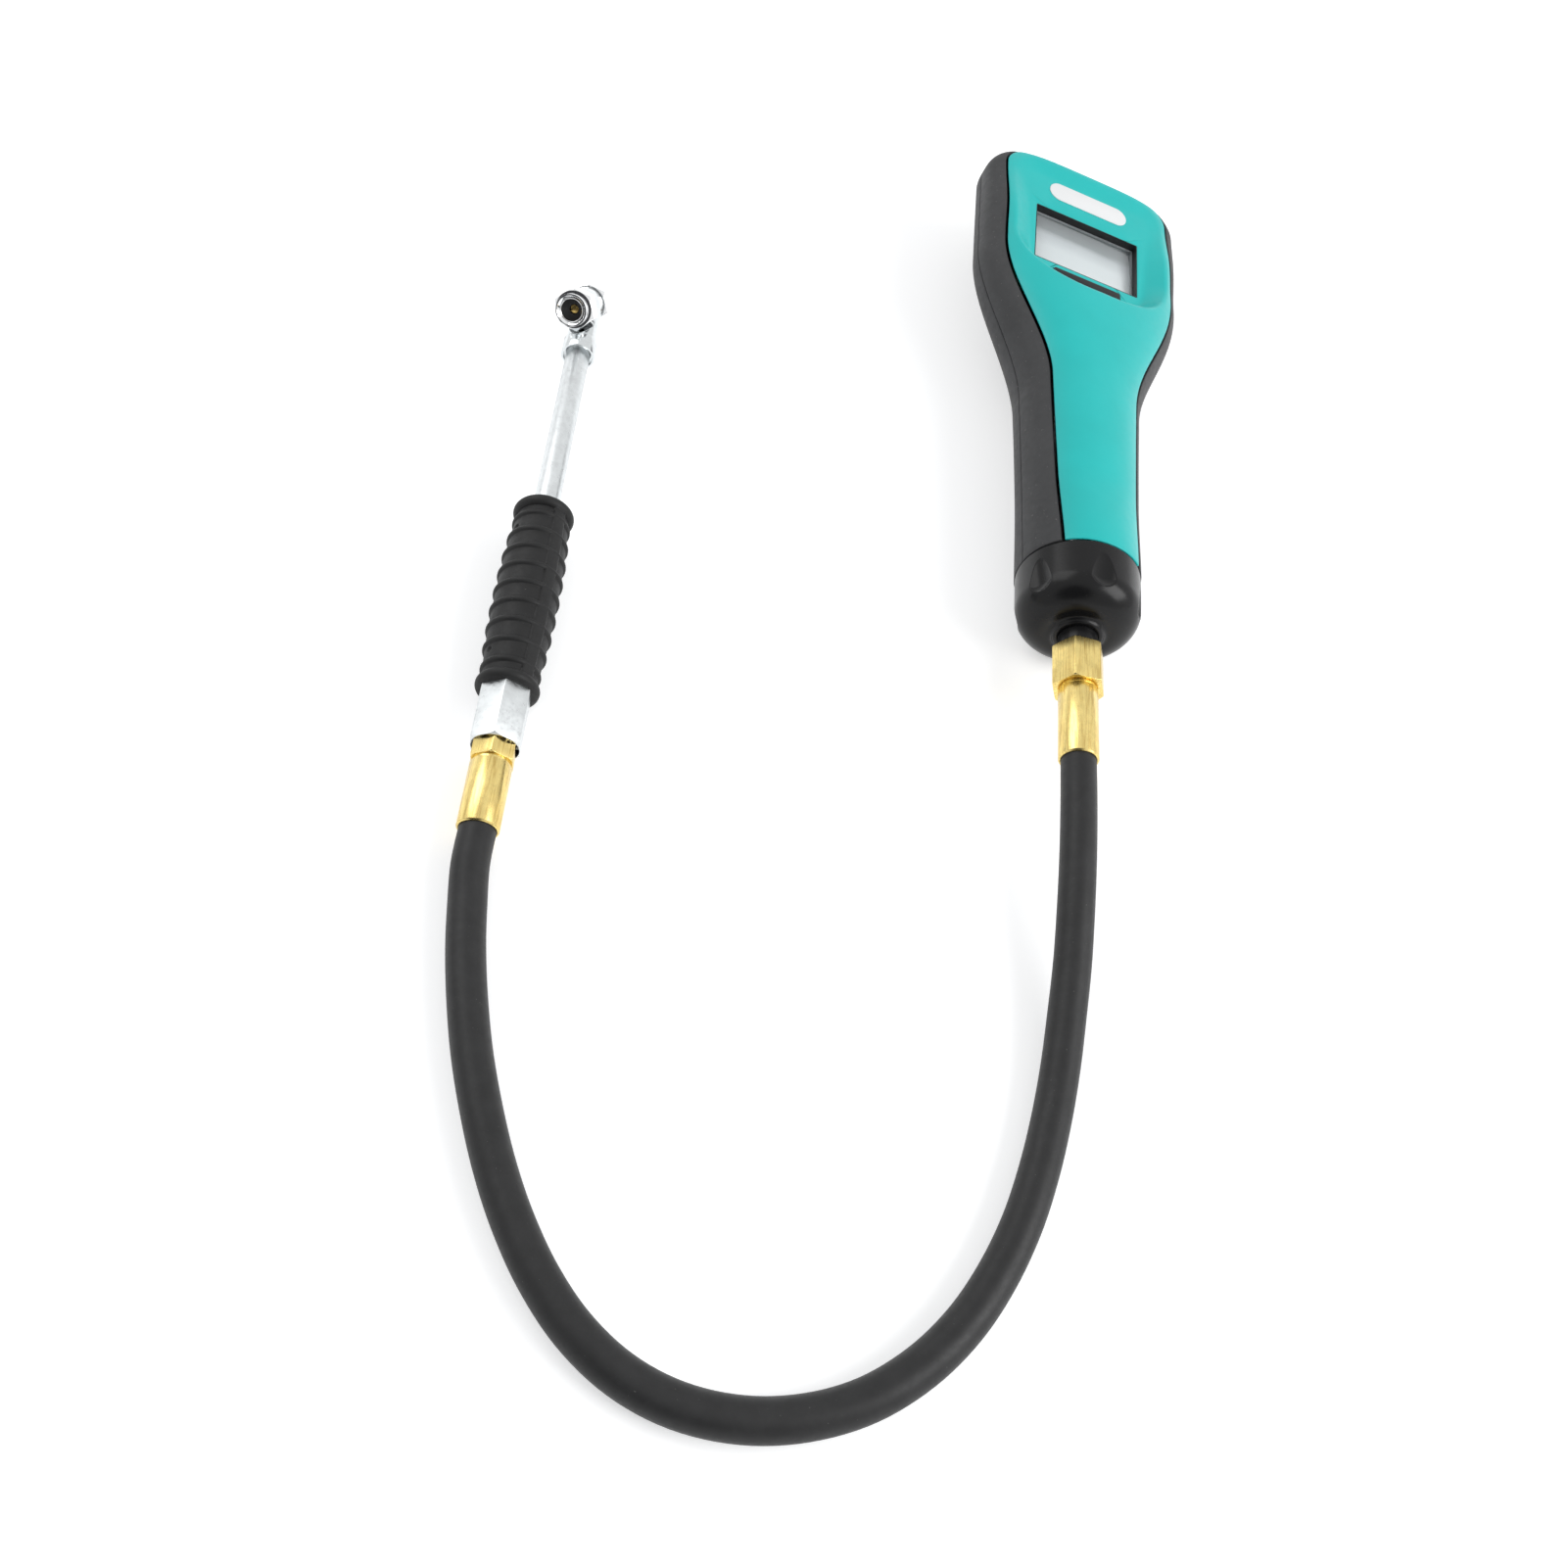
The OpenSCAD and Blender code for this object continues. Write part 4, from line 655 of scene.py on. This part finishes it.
def head_face(bm):
    """The head's front: rings from the cover's border over the bowl's crest down to its floor."""
    crest_loop = rounds_loop(CREST_ROUNDS)
    foot_loop = rounds_loop(FOOT_ROUNDS)
    lines = []
    for angle in ray_angles():
        reach = cover_w(NECKLINE) - 0.3 + 1e-6
        if math.sin(angle) < 0 and abs((FLOOR_Y - NECKLINE) / math.tan(angle)) <= reach:
            outer = Vector((-(FLOOR_Y - NECKLINE) / math.tan(angle), NECKLINE))
        else:
            outer = cover_point(angle, -0.3)
        lines.append(ray_line(outer, loop_at(crest_loop, angle), loop_at(foot_loop, angle)))
    rings = len(lines[0]) - 1
    grid = bmesh.ops.create_grid(bm, x_segments=len(lines), y_segments=rings, size=1.0)["verts"]
    grid.sort(key=lambda v: (round(v.co.x, 5), round(v.co.y, 5)))
    for vert, place in zip(grid, [p for line in lines + lines[:1] for p in line]):
        vert.co = place
    bmesh.ops.remove_doubles(bm, verts=bm.verts, dist=0.001)


def handle_face(bm):
    """The handle's front, from the end cap to the neckline, in line with the head's rays."""
    rows = 90
    across = 40
    grid = bmesh.ops.create_grid(bm, x_segments=across, y_segments=rows, size=1.0)["verts"]
    for vert in grid:
        y = HOUSING_Y + 0.3 + (NECKLINE - HOUSING_Y - 0.3) * (vert.co.y + 1) / 2
        x = vert.co.x * (cover_w(y) - 0.3)
        vert.co = (x, y, front_height(x, y))


def front_cover():
    bm = bmesh.new()
    head_face(bm)
    handle_face(bm)
    bmesh.ops.remove_doubles(bm, verts=bm.verts, dist=0.002)
    bmesh.ops.recalc_face_normals(bm, faces=bm.faces)
    if sum(f.normal.z * f.calc_area() for f in bm.faces) < 0:
        bmesh.ops.reverse_faces(bm, faces=bm.faces)
    cover = new_piece("cover_skin", bm, GAUGE, "inflator", teal_plastic, ("front_cover",),
                      recalc=False)
    wall_of(cover, 1.0)
    window = block(52.3, 35.0, 12.0, (0, WINDOW_Y, floor_height(WINDOW_Y)), 0.6, 2.6)
    button = block(34.6, 7.1, 8.0, (0, BUTTON_Y, floor_height(BUTTON_Y)), 1.9, 2.6)
    cut_with(cover, [tool(window), tool(button)])
    ease_edges(cover, 0.4, 55.0)
    return cover


front_cover()


# ---- shells ----
def seam_band(bm):
    """The front shell: a band from the cover's border round the side down to the seam."""
    down = 14
    last = COVER_END - CORNER_R
    side = [HOUSING_Y + 0.3 + (last - HOUSING_Y - 0.3) * k / 110 for k in range(111)]
    corner = [math.radians(90 * k / 24) for k in range(1, 25)]
    flat = [1 - k / 20 for k in range(1, 21)]
    half = [band_side(y) for y in side] + [band_corner(a) for a in corner] + [band_top(u) for u in flat]
    mirrored = [(Vector((-p.x, p.y)), Vector((-q.x, q.y))) for p, q in reversed(half[:-1])]
    path = half + mirrored
    grid = bmesh.ops.create_grid(bm, x_segments=len(path) - 1, y_segments=down, size=1.0)["verts"]
    grid.sort(key=lambda v: (round(v.co.x, 5), round(v.co.y, 5)))
    for k, (inner, edge) in enumerate(path):
        for j in range(down + 1):
            grid[k * (down + 1) + j].co = band_point(inner, edge, j / down)


BAND_GAP = 0.65
SEAM_GAP = 0.15


def band_side(y):
    return Vector((cover_w(y) + BAND_GAP, y)), Vector((half_w(y), y))


def band_corner(a):
    corner_y = COVER_END - CORNER_R
    corner_x = cover_w(corner_y) - CORNER_R
    inner = Vector((corner_x + (CORNER_R + BAND_GAP) * math.cos(a),
                    corner_y + (CORNER_R + BAND_GAP) * math.sin(a)))
    middle = HOUSING_END - HEAD_R
    start = math.asin((corner_y - middle) / HEAD_R)
    turn = start + (math.pi / 2 - start) * a / (math.pi / 2)
    edge = Vector((49.0 - HEAD_R + HEAD_R * math.cos(turn), middle + HEAD_R * math.sin(turn)))
    return inner, edge


def band_top(u):
    corner_x = cover_w(COVER_END - CORNER_R) - CORNER_R
    return Vector((corner_x * u, COVER_END + BAND_GAP)), Vector((35.0 * u, HOUSING_END))


def band_point(inner, edge, t):
    """A point between the cover's border and the silhouette, then down to the seam."""
    last = 0.92
    if t < last:
        s = math.sin(t / last * math.pi / 2)
        place = inner.lerp(edge, s * 0.9985)
        return Vector((place.x, place.y, front_height(place.x, min(place.y, HOUSING_END - 0.001))))
    place = inner.lerp(edge, 0.9985 + 0.0015 * (t - last) / (1 - last))
    top = inner.lerp(edge, 0.9985)
    z = front_height(top.x, min(top.y, HOUSING_END - 0.001))
    s = (t - last) / (1 - last)
    return Vector((place.x, place.y, z + (SEAM_GAP - z) * s))


def front_shell():
    bm = bmesh.new()
    seam_band(bm)
    bmesh.ops.recalc_face_normals(bm, faces=bm.faces)
    if sum(f.normal.z * f.calc_area() for f in bm.faces) < 0:
        bmesh.ops.reverse_faces(bm, faces=bm.faces)
    shell = new_piece("front_shell_skin", bm, GAUGE, "inflator", charcoal_plastic,
                      ("front_shell",), recalc=False)
    wall_of(shell, 2.0)
    cut_with(shell, [tool(rod(7.7, 305, 345, z=-5.0))])
    ease_edges(shell, 0.3, 50.0, 2)
    return shell


def rear_stations():
    last = HOUSING_END - HEAD_R - 1.0
    plain = [HOUSING_Y + 0.3 + (last - HOUSING_Y - 0.3) * k / 120 for k in range(121)]
    wide = [HOUSING_END - 14.0 * (1 - math.sin(math.radians(a))) for a in range(6, 90, 6)]
    edge = [HOUSING_END - 4.0 * (1 - math.sin(math.radians(a))) for a in range(12, 91, 12)]
    return sorted(set(plain + wide + edge + [HOUSING_END - 0.02]))


def rear_shell():
    stations = rear_stations()
    around = 96
    bm = bmesh.new()
    grid = bmesh.ops.create_grid(bm, x_segments=len(stations) - 1, y_segments=around, size=1.0)["verts"]
    grid.sort(key=lambda v: (round(v.co.x, 5), round(v.co.y, 5)))
    for k, y in enumerate(stations):
        for j in range(around + 1):
            a = math.pi * j / around
            c, s = math.cos(a), math.sin(a)
            p = rear_power(y)
            x = half_w(y) * math.copysign(abs(c) ** (2 / p), c)
            z = -rear_z(y) * abs(s) ** (2 / p)
            grid[k * (around + 1) + j].co = (x, y, min(z, -SEAM_GAP) if 0 < j < around else -SEAM_GAP)
    last = [v for v in bm.verts if abs(v.co.y - stations[-1]) < 1e-4]
    bmesh.ops.contextual_create(bm, geom=last)
    bmesh.ops.recalc_face_normals(bm, faces=bm.faces)
    if sum(f.normal.z * f.calc_area() for f in bm.faces) > 0:
        bmesh.ops.reverse_faces(bm, faces=bm.faces)
    shell = new_piece("rear_shell_skin", bm, GAUGE, "inflator", charcoal_plastic,
                      ("rear_shell",), recalc=False)
    wall_of(shell, 2.0)
    bulge = block(60.0, 66.0, 9.1, (0, BULGE_Y, -17.55), 8.0)
    cut_with(shell, [tool(bulge)], "UNION")
    cut_with(shell, [tool(shape) for shape in rear_openings()])
    ease_edges(shell, 0.35, 50.0, 2)
    return shell


BULGE_Y = 272.0


def rear_openings():
    """What is cut out of the back: the cells' bay, the lever's slot, screw holes and the inlet."""
    bay = block(54.8, 60.8, 14.8, (0, BULGE_Y, -7.4), 6.0)
    seat = block(52.4, 58.4, 4.0, (0, BULGE_Y, -21.9), 6.0)
    well = block(48.0, 48.0, 16.0, (0, 274.0, -15.1))
    slot = block(16.6, 110.0, 51.5, (0, 168.5, -34.25))
    shapes = [bay, seat, well, slot, rod(1.3, -24, -10, z=246.5, axis="Z"), rod(7.7, 305, 345, z=-5.0)]
    for y in (HOUSING_END - 25.0, HOUSING_Y + 30.0):
        for side in (-1, 1):
            shapes.append(rod(2.6, -40, -8.6, x=side * (half_w(y) - 6.6), z=y, axis="Z"))
    return shapes


front_shell()
rear_shell()


# ---- hose ----
HOSE_ROUTE = (
    (87.1, -164, 21.2), (87.1, -179, 19.5), (87, -197, 16.5), (86.7, -215, 12.9), (85.5, -233, 9.9),
    (83.8, -251, 7.8), (81, -269, 6.8), (77, -287, 6.6), (71.5, -305, 6.6), (64, -322, 6.6),
    (54.5, -337.5, 6.6), (42.4, -351, 6.6), (27.5, -362, 6.6), (10.6, -369, 6.6), (-7.5, -372, 6.6),
    (-26, -370.5, 6.6), (-43, -364.4, 6.6), (-58, -354, 6.6), (-70.5, -340.5, 6.6),
    (-81, -325, 6.6), (-89.5, -309, 6.6), (-96.8, -292, 6.6), (-103, -275, 6.6),
    (-108.2, -257, 6.7), (-112.2, -240, 7), (-115, -224, 7.4))
HOSE_D = 13.0
HOSE_SEAT = 3.0


def past_mouth(placing, distance):
    """A point on a ferrule's axis, so far past its mouth, in millimetres of the model."""
    return placing @ Vector((0.0, -distance, 0.0)) / MM


def through(points, steps):
    """A smooth line through the points (Catmull-Rom)."""
    line = []
    for a, b, c, d in zip(points, points[1:], points[2:], points[3:]):
        for k in range(steps):
            t = k / steps
            line.append(0.5 * (2 * b + (c - a) * t + (2 * a - 5 * b + 4 * c - d) * t * t
                               + (3 * b - a - 3 * c + d) * t ** 3))
    return [points[0]] + line + [points[-2], points[-1]]


def air_hose():
    route = ([past_mouth(GAUGE, d) for d in (-HOSE_SEAT, 0.0, HOSE_D)] + [Vector(p) for p in HOSE_ROUTE]
             + [past_mouth(WAND, d) for d in (HOSE_D, 0.0, -HOSE_SEAT)])
    line = through(route, 6)
    curve = bpy.data.curves.new("air_hose", "CURVE")
    curve.dimensions = "3D"
    curve.bevel_depth = HOSE_D / 2 * MM
    curve.bevel_resolution = 9
    curve.use_fill_caps = True
    spline = curve.splines.new("POLY")
    spline.points.add(len(line) - 1)
    for point, place in zip(spline.points, line):
        point.co = (*(place * MM), 1.0)
    spline.use_smooth = True
    curve.materials.append(hose_rubber)
    hose = bpy.data.objects.new("air_hose", curve)
    bpy.context.scene.collection.objects.link(hose)
    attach(hose, "inflator")
    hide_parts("hose")
    return hose


air_hose()


# ---- display, label and button ----
def window_liner():
    """Black walls that line the window's opening."""
    bm = block(52.2, 34.9, 3.6, (0, WINDOW_Y, floor_height(WINDOW_Y) - 1.95), 0.6, 2.6)
    liner = new_piece("window_liner", bm, GAUGE, "inflator", window_black)
    cut_with(liner, [tool(block(51.6, 34.3, 12.0, (0, WINDOW_Y, floor_height(WINDOW_Y)), 0.5, 2.6))])
    return liner


window_liner()
softened("label_plate", 0.12, white_label)
softened("power_button", 0.5, satin_black, steps=3)
softened("display_lens", 0.3, clear_lens())
softened("lens_gasket", 0.15, inner_grey)
softened("lcd_panel", 0.15, display_glass())


# ---- end cap ----
DENT_R = 9.0
DENT_DEPTH = 2.2
DENT_Y = 69.0
DENT_RISE = math.tan(math.radians(11.0))
DENT_COUNT = 6
DENT_TURN = math.radians(-6.0)
NO_DENT = 99.0


def dent_radius(angle, y):
    """How far from the axis a finger dent leaves the cap's side: a bar with a ball end, tilted."""
    step = math.tau / DENT_COUNT
    off = (angle - DENT_TURN + step / 2) % step - step / 2
    ball = DENT_R ** 2 - min(y - DENT_Y, 0.0) ** 2
    middle = CAP_R + DENT_R - DENT_DEPTH + max(y - DENT_Y, 0.0) * DENT_RISE
    reach = ball - (middle * math.sin(off)) ** 2
    return middle * math.cos(off) - math.sqrt(reach) if reach > 0.0 else NO_DENT


def end_cap():
    top = [(85.3, 20.0), (85.3, 23.55), (85.25, 23.85), (85.1, 24.07), (84.85, CAP_R)]
    side = [(84.6 - 0.26 * k, CAP_R) for k in range(54)]
    rounded = [(70.5 - 11.5 * math.sin(math.radians(a)), 12.65 + 11.5 * math.cos(math.radians(a)))
               for a in range(2, 91, 2)]
    face = [(59.0, 12.3), (59.0, 11.6), (58.85, 10.8), (58.5, 10.2), (57.9, 9.75), (57.5, 9.55), (57.2, 9.2),
            (57.03, 8.7), (57.0, 8.2), (57.15, 7.8), (57.5, 7.65), (59.0, 7.62)]
    inside = [(64.0, 7.62), (64.0, 12.0), (68.0, 18.0), (73.0, 20.0)]
    bm = turned(top + side + rounded + face + inside, 540)
    for vert in bm.verts:
        radius = math.hypot(vert.co.x, vert.co.z)
        wanted = dent_radius(math.atan2(vert.co.x, vert.co.z), vert.co.y)
        if 20.5 < wanted < radius and vert.co.y < 85.0:
            vert.co.x *= wanted / radius
            vert.co.z *= wanted / radius
    return new_piece("end_cap_skin", bm, GAUGE, "inflator", gloss_black, ("end_cap",),
                     sharp=40.0)


end_cap()
softened("outlet_neck", 0.9, gloss_black, steps=4)


# ---- hose fittings ----
softened("hose_union", 0.25, gauge_brass)
softened("gauge_ferrule", 0.25, gauge_brass)
softened("wand_ferrule", 0.25, wand_brass)
softened("hose_insert", 0.2, wand_brass)
softened("wand_body", 0.25, zinc)
softened("steel_tube", 0.2, zinc)


# ---- grip ----
GRIP_Y = 56.5
GRIP_LEN = 86.5
RIB_COUNT = 9


def barrel_r(t):
    return 24.8 / 2 - 0.9 - 2.2 * abs(2 * t - 1) ** 2.2


def grip_radius(y):
    """Outer radius of the grip at a place along it, with its ribs and round flanges."""
    t = y / GRIP_LEN
    radius = barrel_r(t)
    for k in range(1, RIB_COUNT + 1):
        off = abs(y - GRIP_LEN * k / (RIB_COUNT + 1))
        if off < 1.3:
            radius = max(radius, barrel_r(t) + 0.9 * math.cos(off / 1.3 * math.pi / 2) ** 0.6)
    for middle in (2.4, GRIP_LEN - 2.4):
        off = abs(y - middle)
        if off < 2.4:
            radius = max(radius, 9.25 + math.sqrt(2.4 ** 2 - off ** 2))
    return radius


def grip_sleeve():
    steps = 420
    outer = [(GRIP_LEN * k / steps, grip_radius(GRIP_LEN * k / steps)) for k in range(steps + 1)]
    outer = [(GRIP_Y + y, r) for y, r in outer]
    inside = [(GRIP_Y + GRIP_LEN, 5.2), (GRIP_Y + 20.0, 5.2), (GRIP_Y + 20.0, 8.0), (GRIP_Y, 8.0)]
    bm = turned(outer + inside, 180)
    strip = math.radians(41.0)
    dimples = [(math.radians(-52.0), GRIP_Y + 72.0), (math.radians(-52.0), GRIP_Y + 14.0)]
    for vert in bm.verts:
        radius = math.hypot(vert.co.x, vert.co.z)
        along = vert.co.y - GRIP_Y
        if radius < 9.3 or not 3.0 < along < GRIP_LEN - 3.0:
            continue
        angle = math.atan2(vert.co.x, vert.co.z)
        wanted = radius
        across = abs(angle - strip) * radius
        if across < 2.6:
            top = barrel_r(along / GRIP_LEN) + 0.8
            wanted = max(radius, top - 0.5 * max(across - 2.1, 0.0))
        for spot, y in dimples:
            off = math.hypot((angle - spot) * radius, vert.co.y - y)
            wanted -= 0.7 * (1.0 - smooth(0.7, 1.4, off))
        vert.co.x *= wanted / radius
        vert.co.z *= wanted / radius
    return new_piece("grip_skin", bm, WAND, "inflator", grip_rubber, ("grip_sleeve",),
                     sharp=50.0)


grip_sleeve()


# ---- chuck ----
softened("chuck_body", 0.3, plated_casting)
softened("front_nut", 0.35, chrome, steps=3)
softened("rear_nut", 0.35, chrome, steps=3)


def mouth_ring(name, turn):
    """Thin bright bead inside a nut's mouth."""
    bm = turned([(17.6 + 0.35 * math.cos(math.radians(a)), 4.75 + 0.35 * math.sin(math.radians(a)))
                 for a in range(0, 360, 30)], 72)
    bmesh.ops.rotate(bm, matrix=Matrix.Rotation(math.radians(turn), 3, "Z"), verts=bm.verts)
    return new_piece(name, bm, CHUCK, "inflator", chrome)


mouth_ring("front_mouth_ring", 0)
mouth_ring("rear_mouth_ring", 180)

# ---- pieces inside and at the back ----
softened("trigger_lever", 0.7, charcoal_plastic, steps=3)
softened("battery_cover", 0.5, charcoal_plastic, steps=3)
softened("inlet_adapter", 0.3, gauge_brass)

def slotted_pin(name, turn):
    """A core depressor whose tip has a slot across it."""
    pin = softened(name, 0.12, pin_brass)
    slot = block(4.0, 1.2, 0.8, (0.0, 13.3, 0.0))
    bmesh.ops.rotate(slot, matrix=Matrix.Rotation(math.radians(turn), 3, "Z"), verts=slot.verts)
    cut_with(pin, [tool(slot, CHUCK)])
    return pin


slotted_pin("front_pin", 0)
slotted_pin("rear_pin", 180)

FINISHES = {
    "front_seal": seal_rubber, "rear_seal": seal_rubber, "stem_seal": seal_rubber, "neck_seal": seal_rubber,
    "front_pin_spring": spring_steel, "rear_pin_spring": spring_steel, "stem_spring": spring_steel,
    "lever_pin": screw_steel,
    "shell_screws": screw_steel, "battery_screw": screw_steel, "board_screws": screw_steel,
    "inlet_filter": spring_steel, "air_tube": nylon, "valve_body": cast_aluminium,
    "valve_plug": gauge_brass, "valve_stem": gauge_brass, "pressure_sensor": screw_steel,
    "battery_tray": charcoal_plastic, "circuit_board": circuit_green(), "batteries": cell_wrap(),
}
for node, mat in FINISHES.items():
    held = frame["nodes"][node].data.materials
    held.clear()
    held.append(mat)


# ---- floor, world and lamps ----
def white_floor():
    bm = bmesh.new()
    bmesh.ops.create_grid(bm, x_segments=1, y_segments=1, size=3.0)
    mesh = bpy.data.meshes.new("floor")
    bm.to_mesh(mesh)
    bm.free()
    mat, nodes, links = new_material("white_floor")
    shader = shader_of(mat, (0.80, 0.80, 0.80), 0.8)
    glow = nodes.new("ShaderNodeEmission")
    path = nodes.new("ShaderNodeLightPath")
    both = nodes.new("ShaderNodeAddShader")
    seen = math_node(mat, "MAXIMUM", path.outputs["Is Camera Ray"], path.outputs["Is Glossy Ray"])
    seen = math_node(mat, "MAXIMUM", seen, path.outputs["Is Transmission Ray"])
    links.new(math_node(mat, "MULTIPLY", seen, 0.5), glow.inputs["Strength"])
    links.new(shader.outputs["BSDF"], both.inputs[0])
    links.new(glow.outputs["Emission"], both.inputs[1])
    links.new(both.outputs["Shader"], nodes["Material Output"].inputs["Surface"])
    mesh.materials.append(mat)
    floor = bpy.data.objects.new("floor", mesh)
    bpy.context.scene.collection.objects.link(floor)


def white_world():
    world = bpy.data.worlds.new("world")
    bpy.context.scene.world = world
    world.use_nodes = True
    nodes, links = world.node_tree.nodes, world.node_tree.links
    sky = nodes["Background"]
    sky.inputs["Color"].default_value = (0.84, 0.86, 0.88, 1.0)
    sky.inputs["Strength"].default_value = 0.55
    mirrored = nodes.new("ShaderNodeBackground")
    mirrored.inputs["Strength"].default_value = 0.9
    coords = nodes.new("ShaderNodeTexCoord")
    toward = nodes.new("ShaderNodeVectorMath")
    toward.operation = "DOT_PRODUCT"
    toward.inputs[1].default_value = Vector((-0.25, -0.80, 0.55)).normalized()
    links.new(coords.outputs["Generated"], toward.inputs[0])
    room = nodes.new("ShaderNodeValToRGB")
    low, high = room.color_ramp.elements
    low.position, low.color = 0.86, (1.0, 1.0, 1.0, 1.0)
    high.position, high.color = 0.93, (0.06, 0.06, 0.065, 1.0)
    links.new(toward.outputs["Value"], room.inputs["Fac"])
    links.new(room.outputs["Color"], mirrored.inputs["Color"])
    white = nodes.new("ShaderNodeBackground")
    white.inputs["Color"].default_value = (1.0, 1.0, 1.0, 1.0)
    path = nodes.new("ShaderNodeLightPath")
    glossy = nodes.new("ShaderNodeMixShader")
    links.new(path.outputs["Is Glossy Ray"], glossy.inputs[0])
    links.new(sky.outputs["Background"], glossy.inputs[1])
    links.new(mirrored.outputs["Background"], glossy.inputs[2])
    choose = nodes.new("ShaderNodeMixShader")
    links.new(path.outputs["Is Camera Ray"], choose.inputs[0])
    links.new(glossy.outputs["Shader"], choose.inputs[1])
    links.new(white.outputs["Background"], choose.inputs[2])
    links.new(choose.outputs["Shader"], nodes["World Output"].inputs["Surface"])


def soft_lamp(name, spot, target, size, power_w):
    lamp = bpy.data.lights.new(name, "AREA")
    lamp.shape = "SQUARE"
    lamp.size = size
    lamp.energy = power_w
    held = bpy.data.objects.new(name, lamp)
    aim = (Vector(target) - Vector(spot)).to_track_quat("-Z", "Y")
    held.matrix_world = Matrix.Translation(spot) @ aim.to_matrix().to_4x4()
    bpy.context.scene.collection.objects.link(held)


white_floor()
white_world()
soft_lamp("main_lamp", (1.5, -0.5, 1.2), (0.0, 0.0, 0.0), 1.2, 24.0)
soft_lamp("fill_lamp", (-1.1, 0.6, 1.3), (0.0, -0.1, 0.0), 1.2, 9.0)
bpy.context.scene.view_settings.view_transform = "Standard"
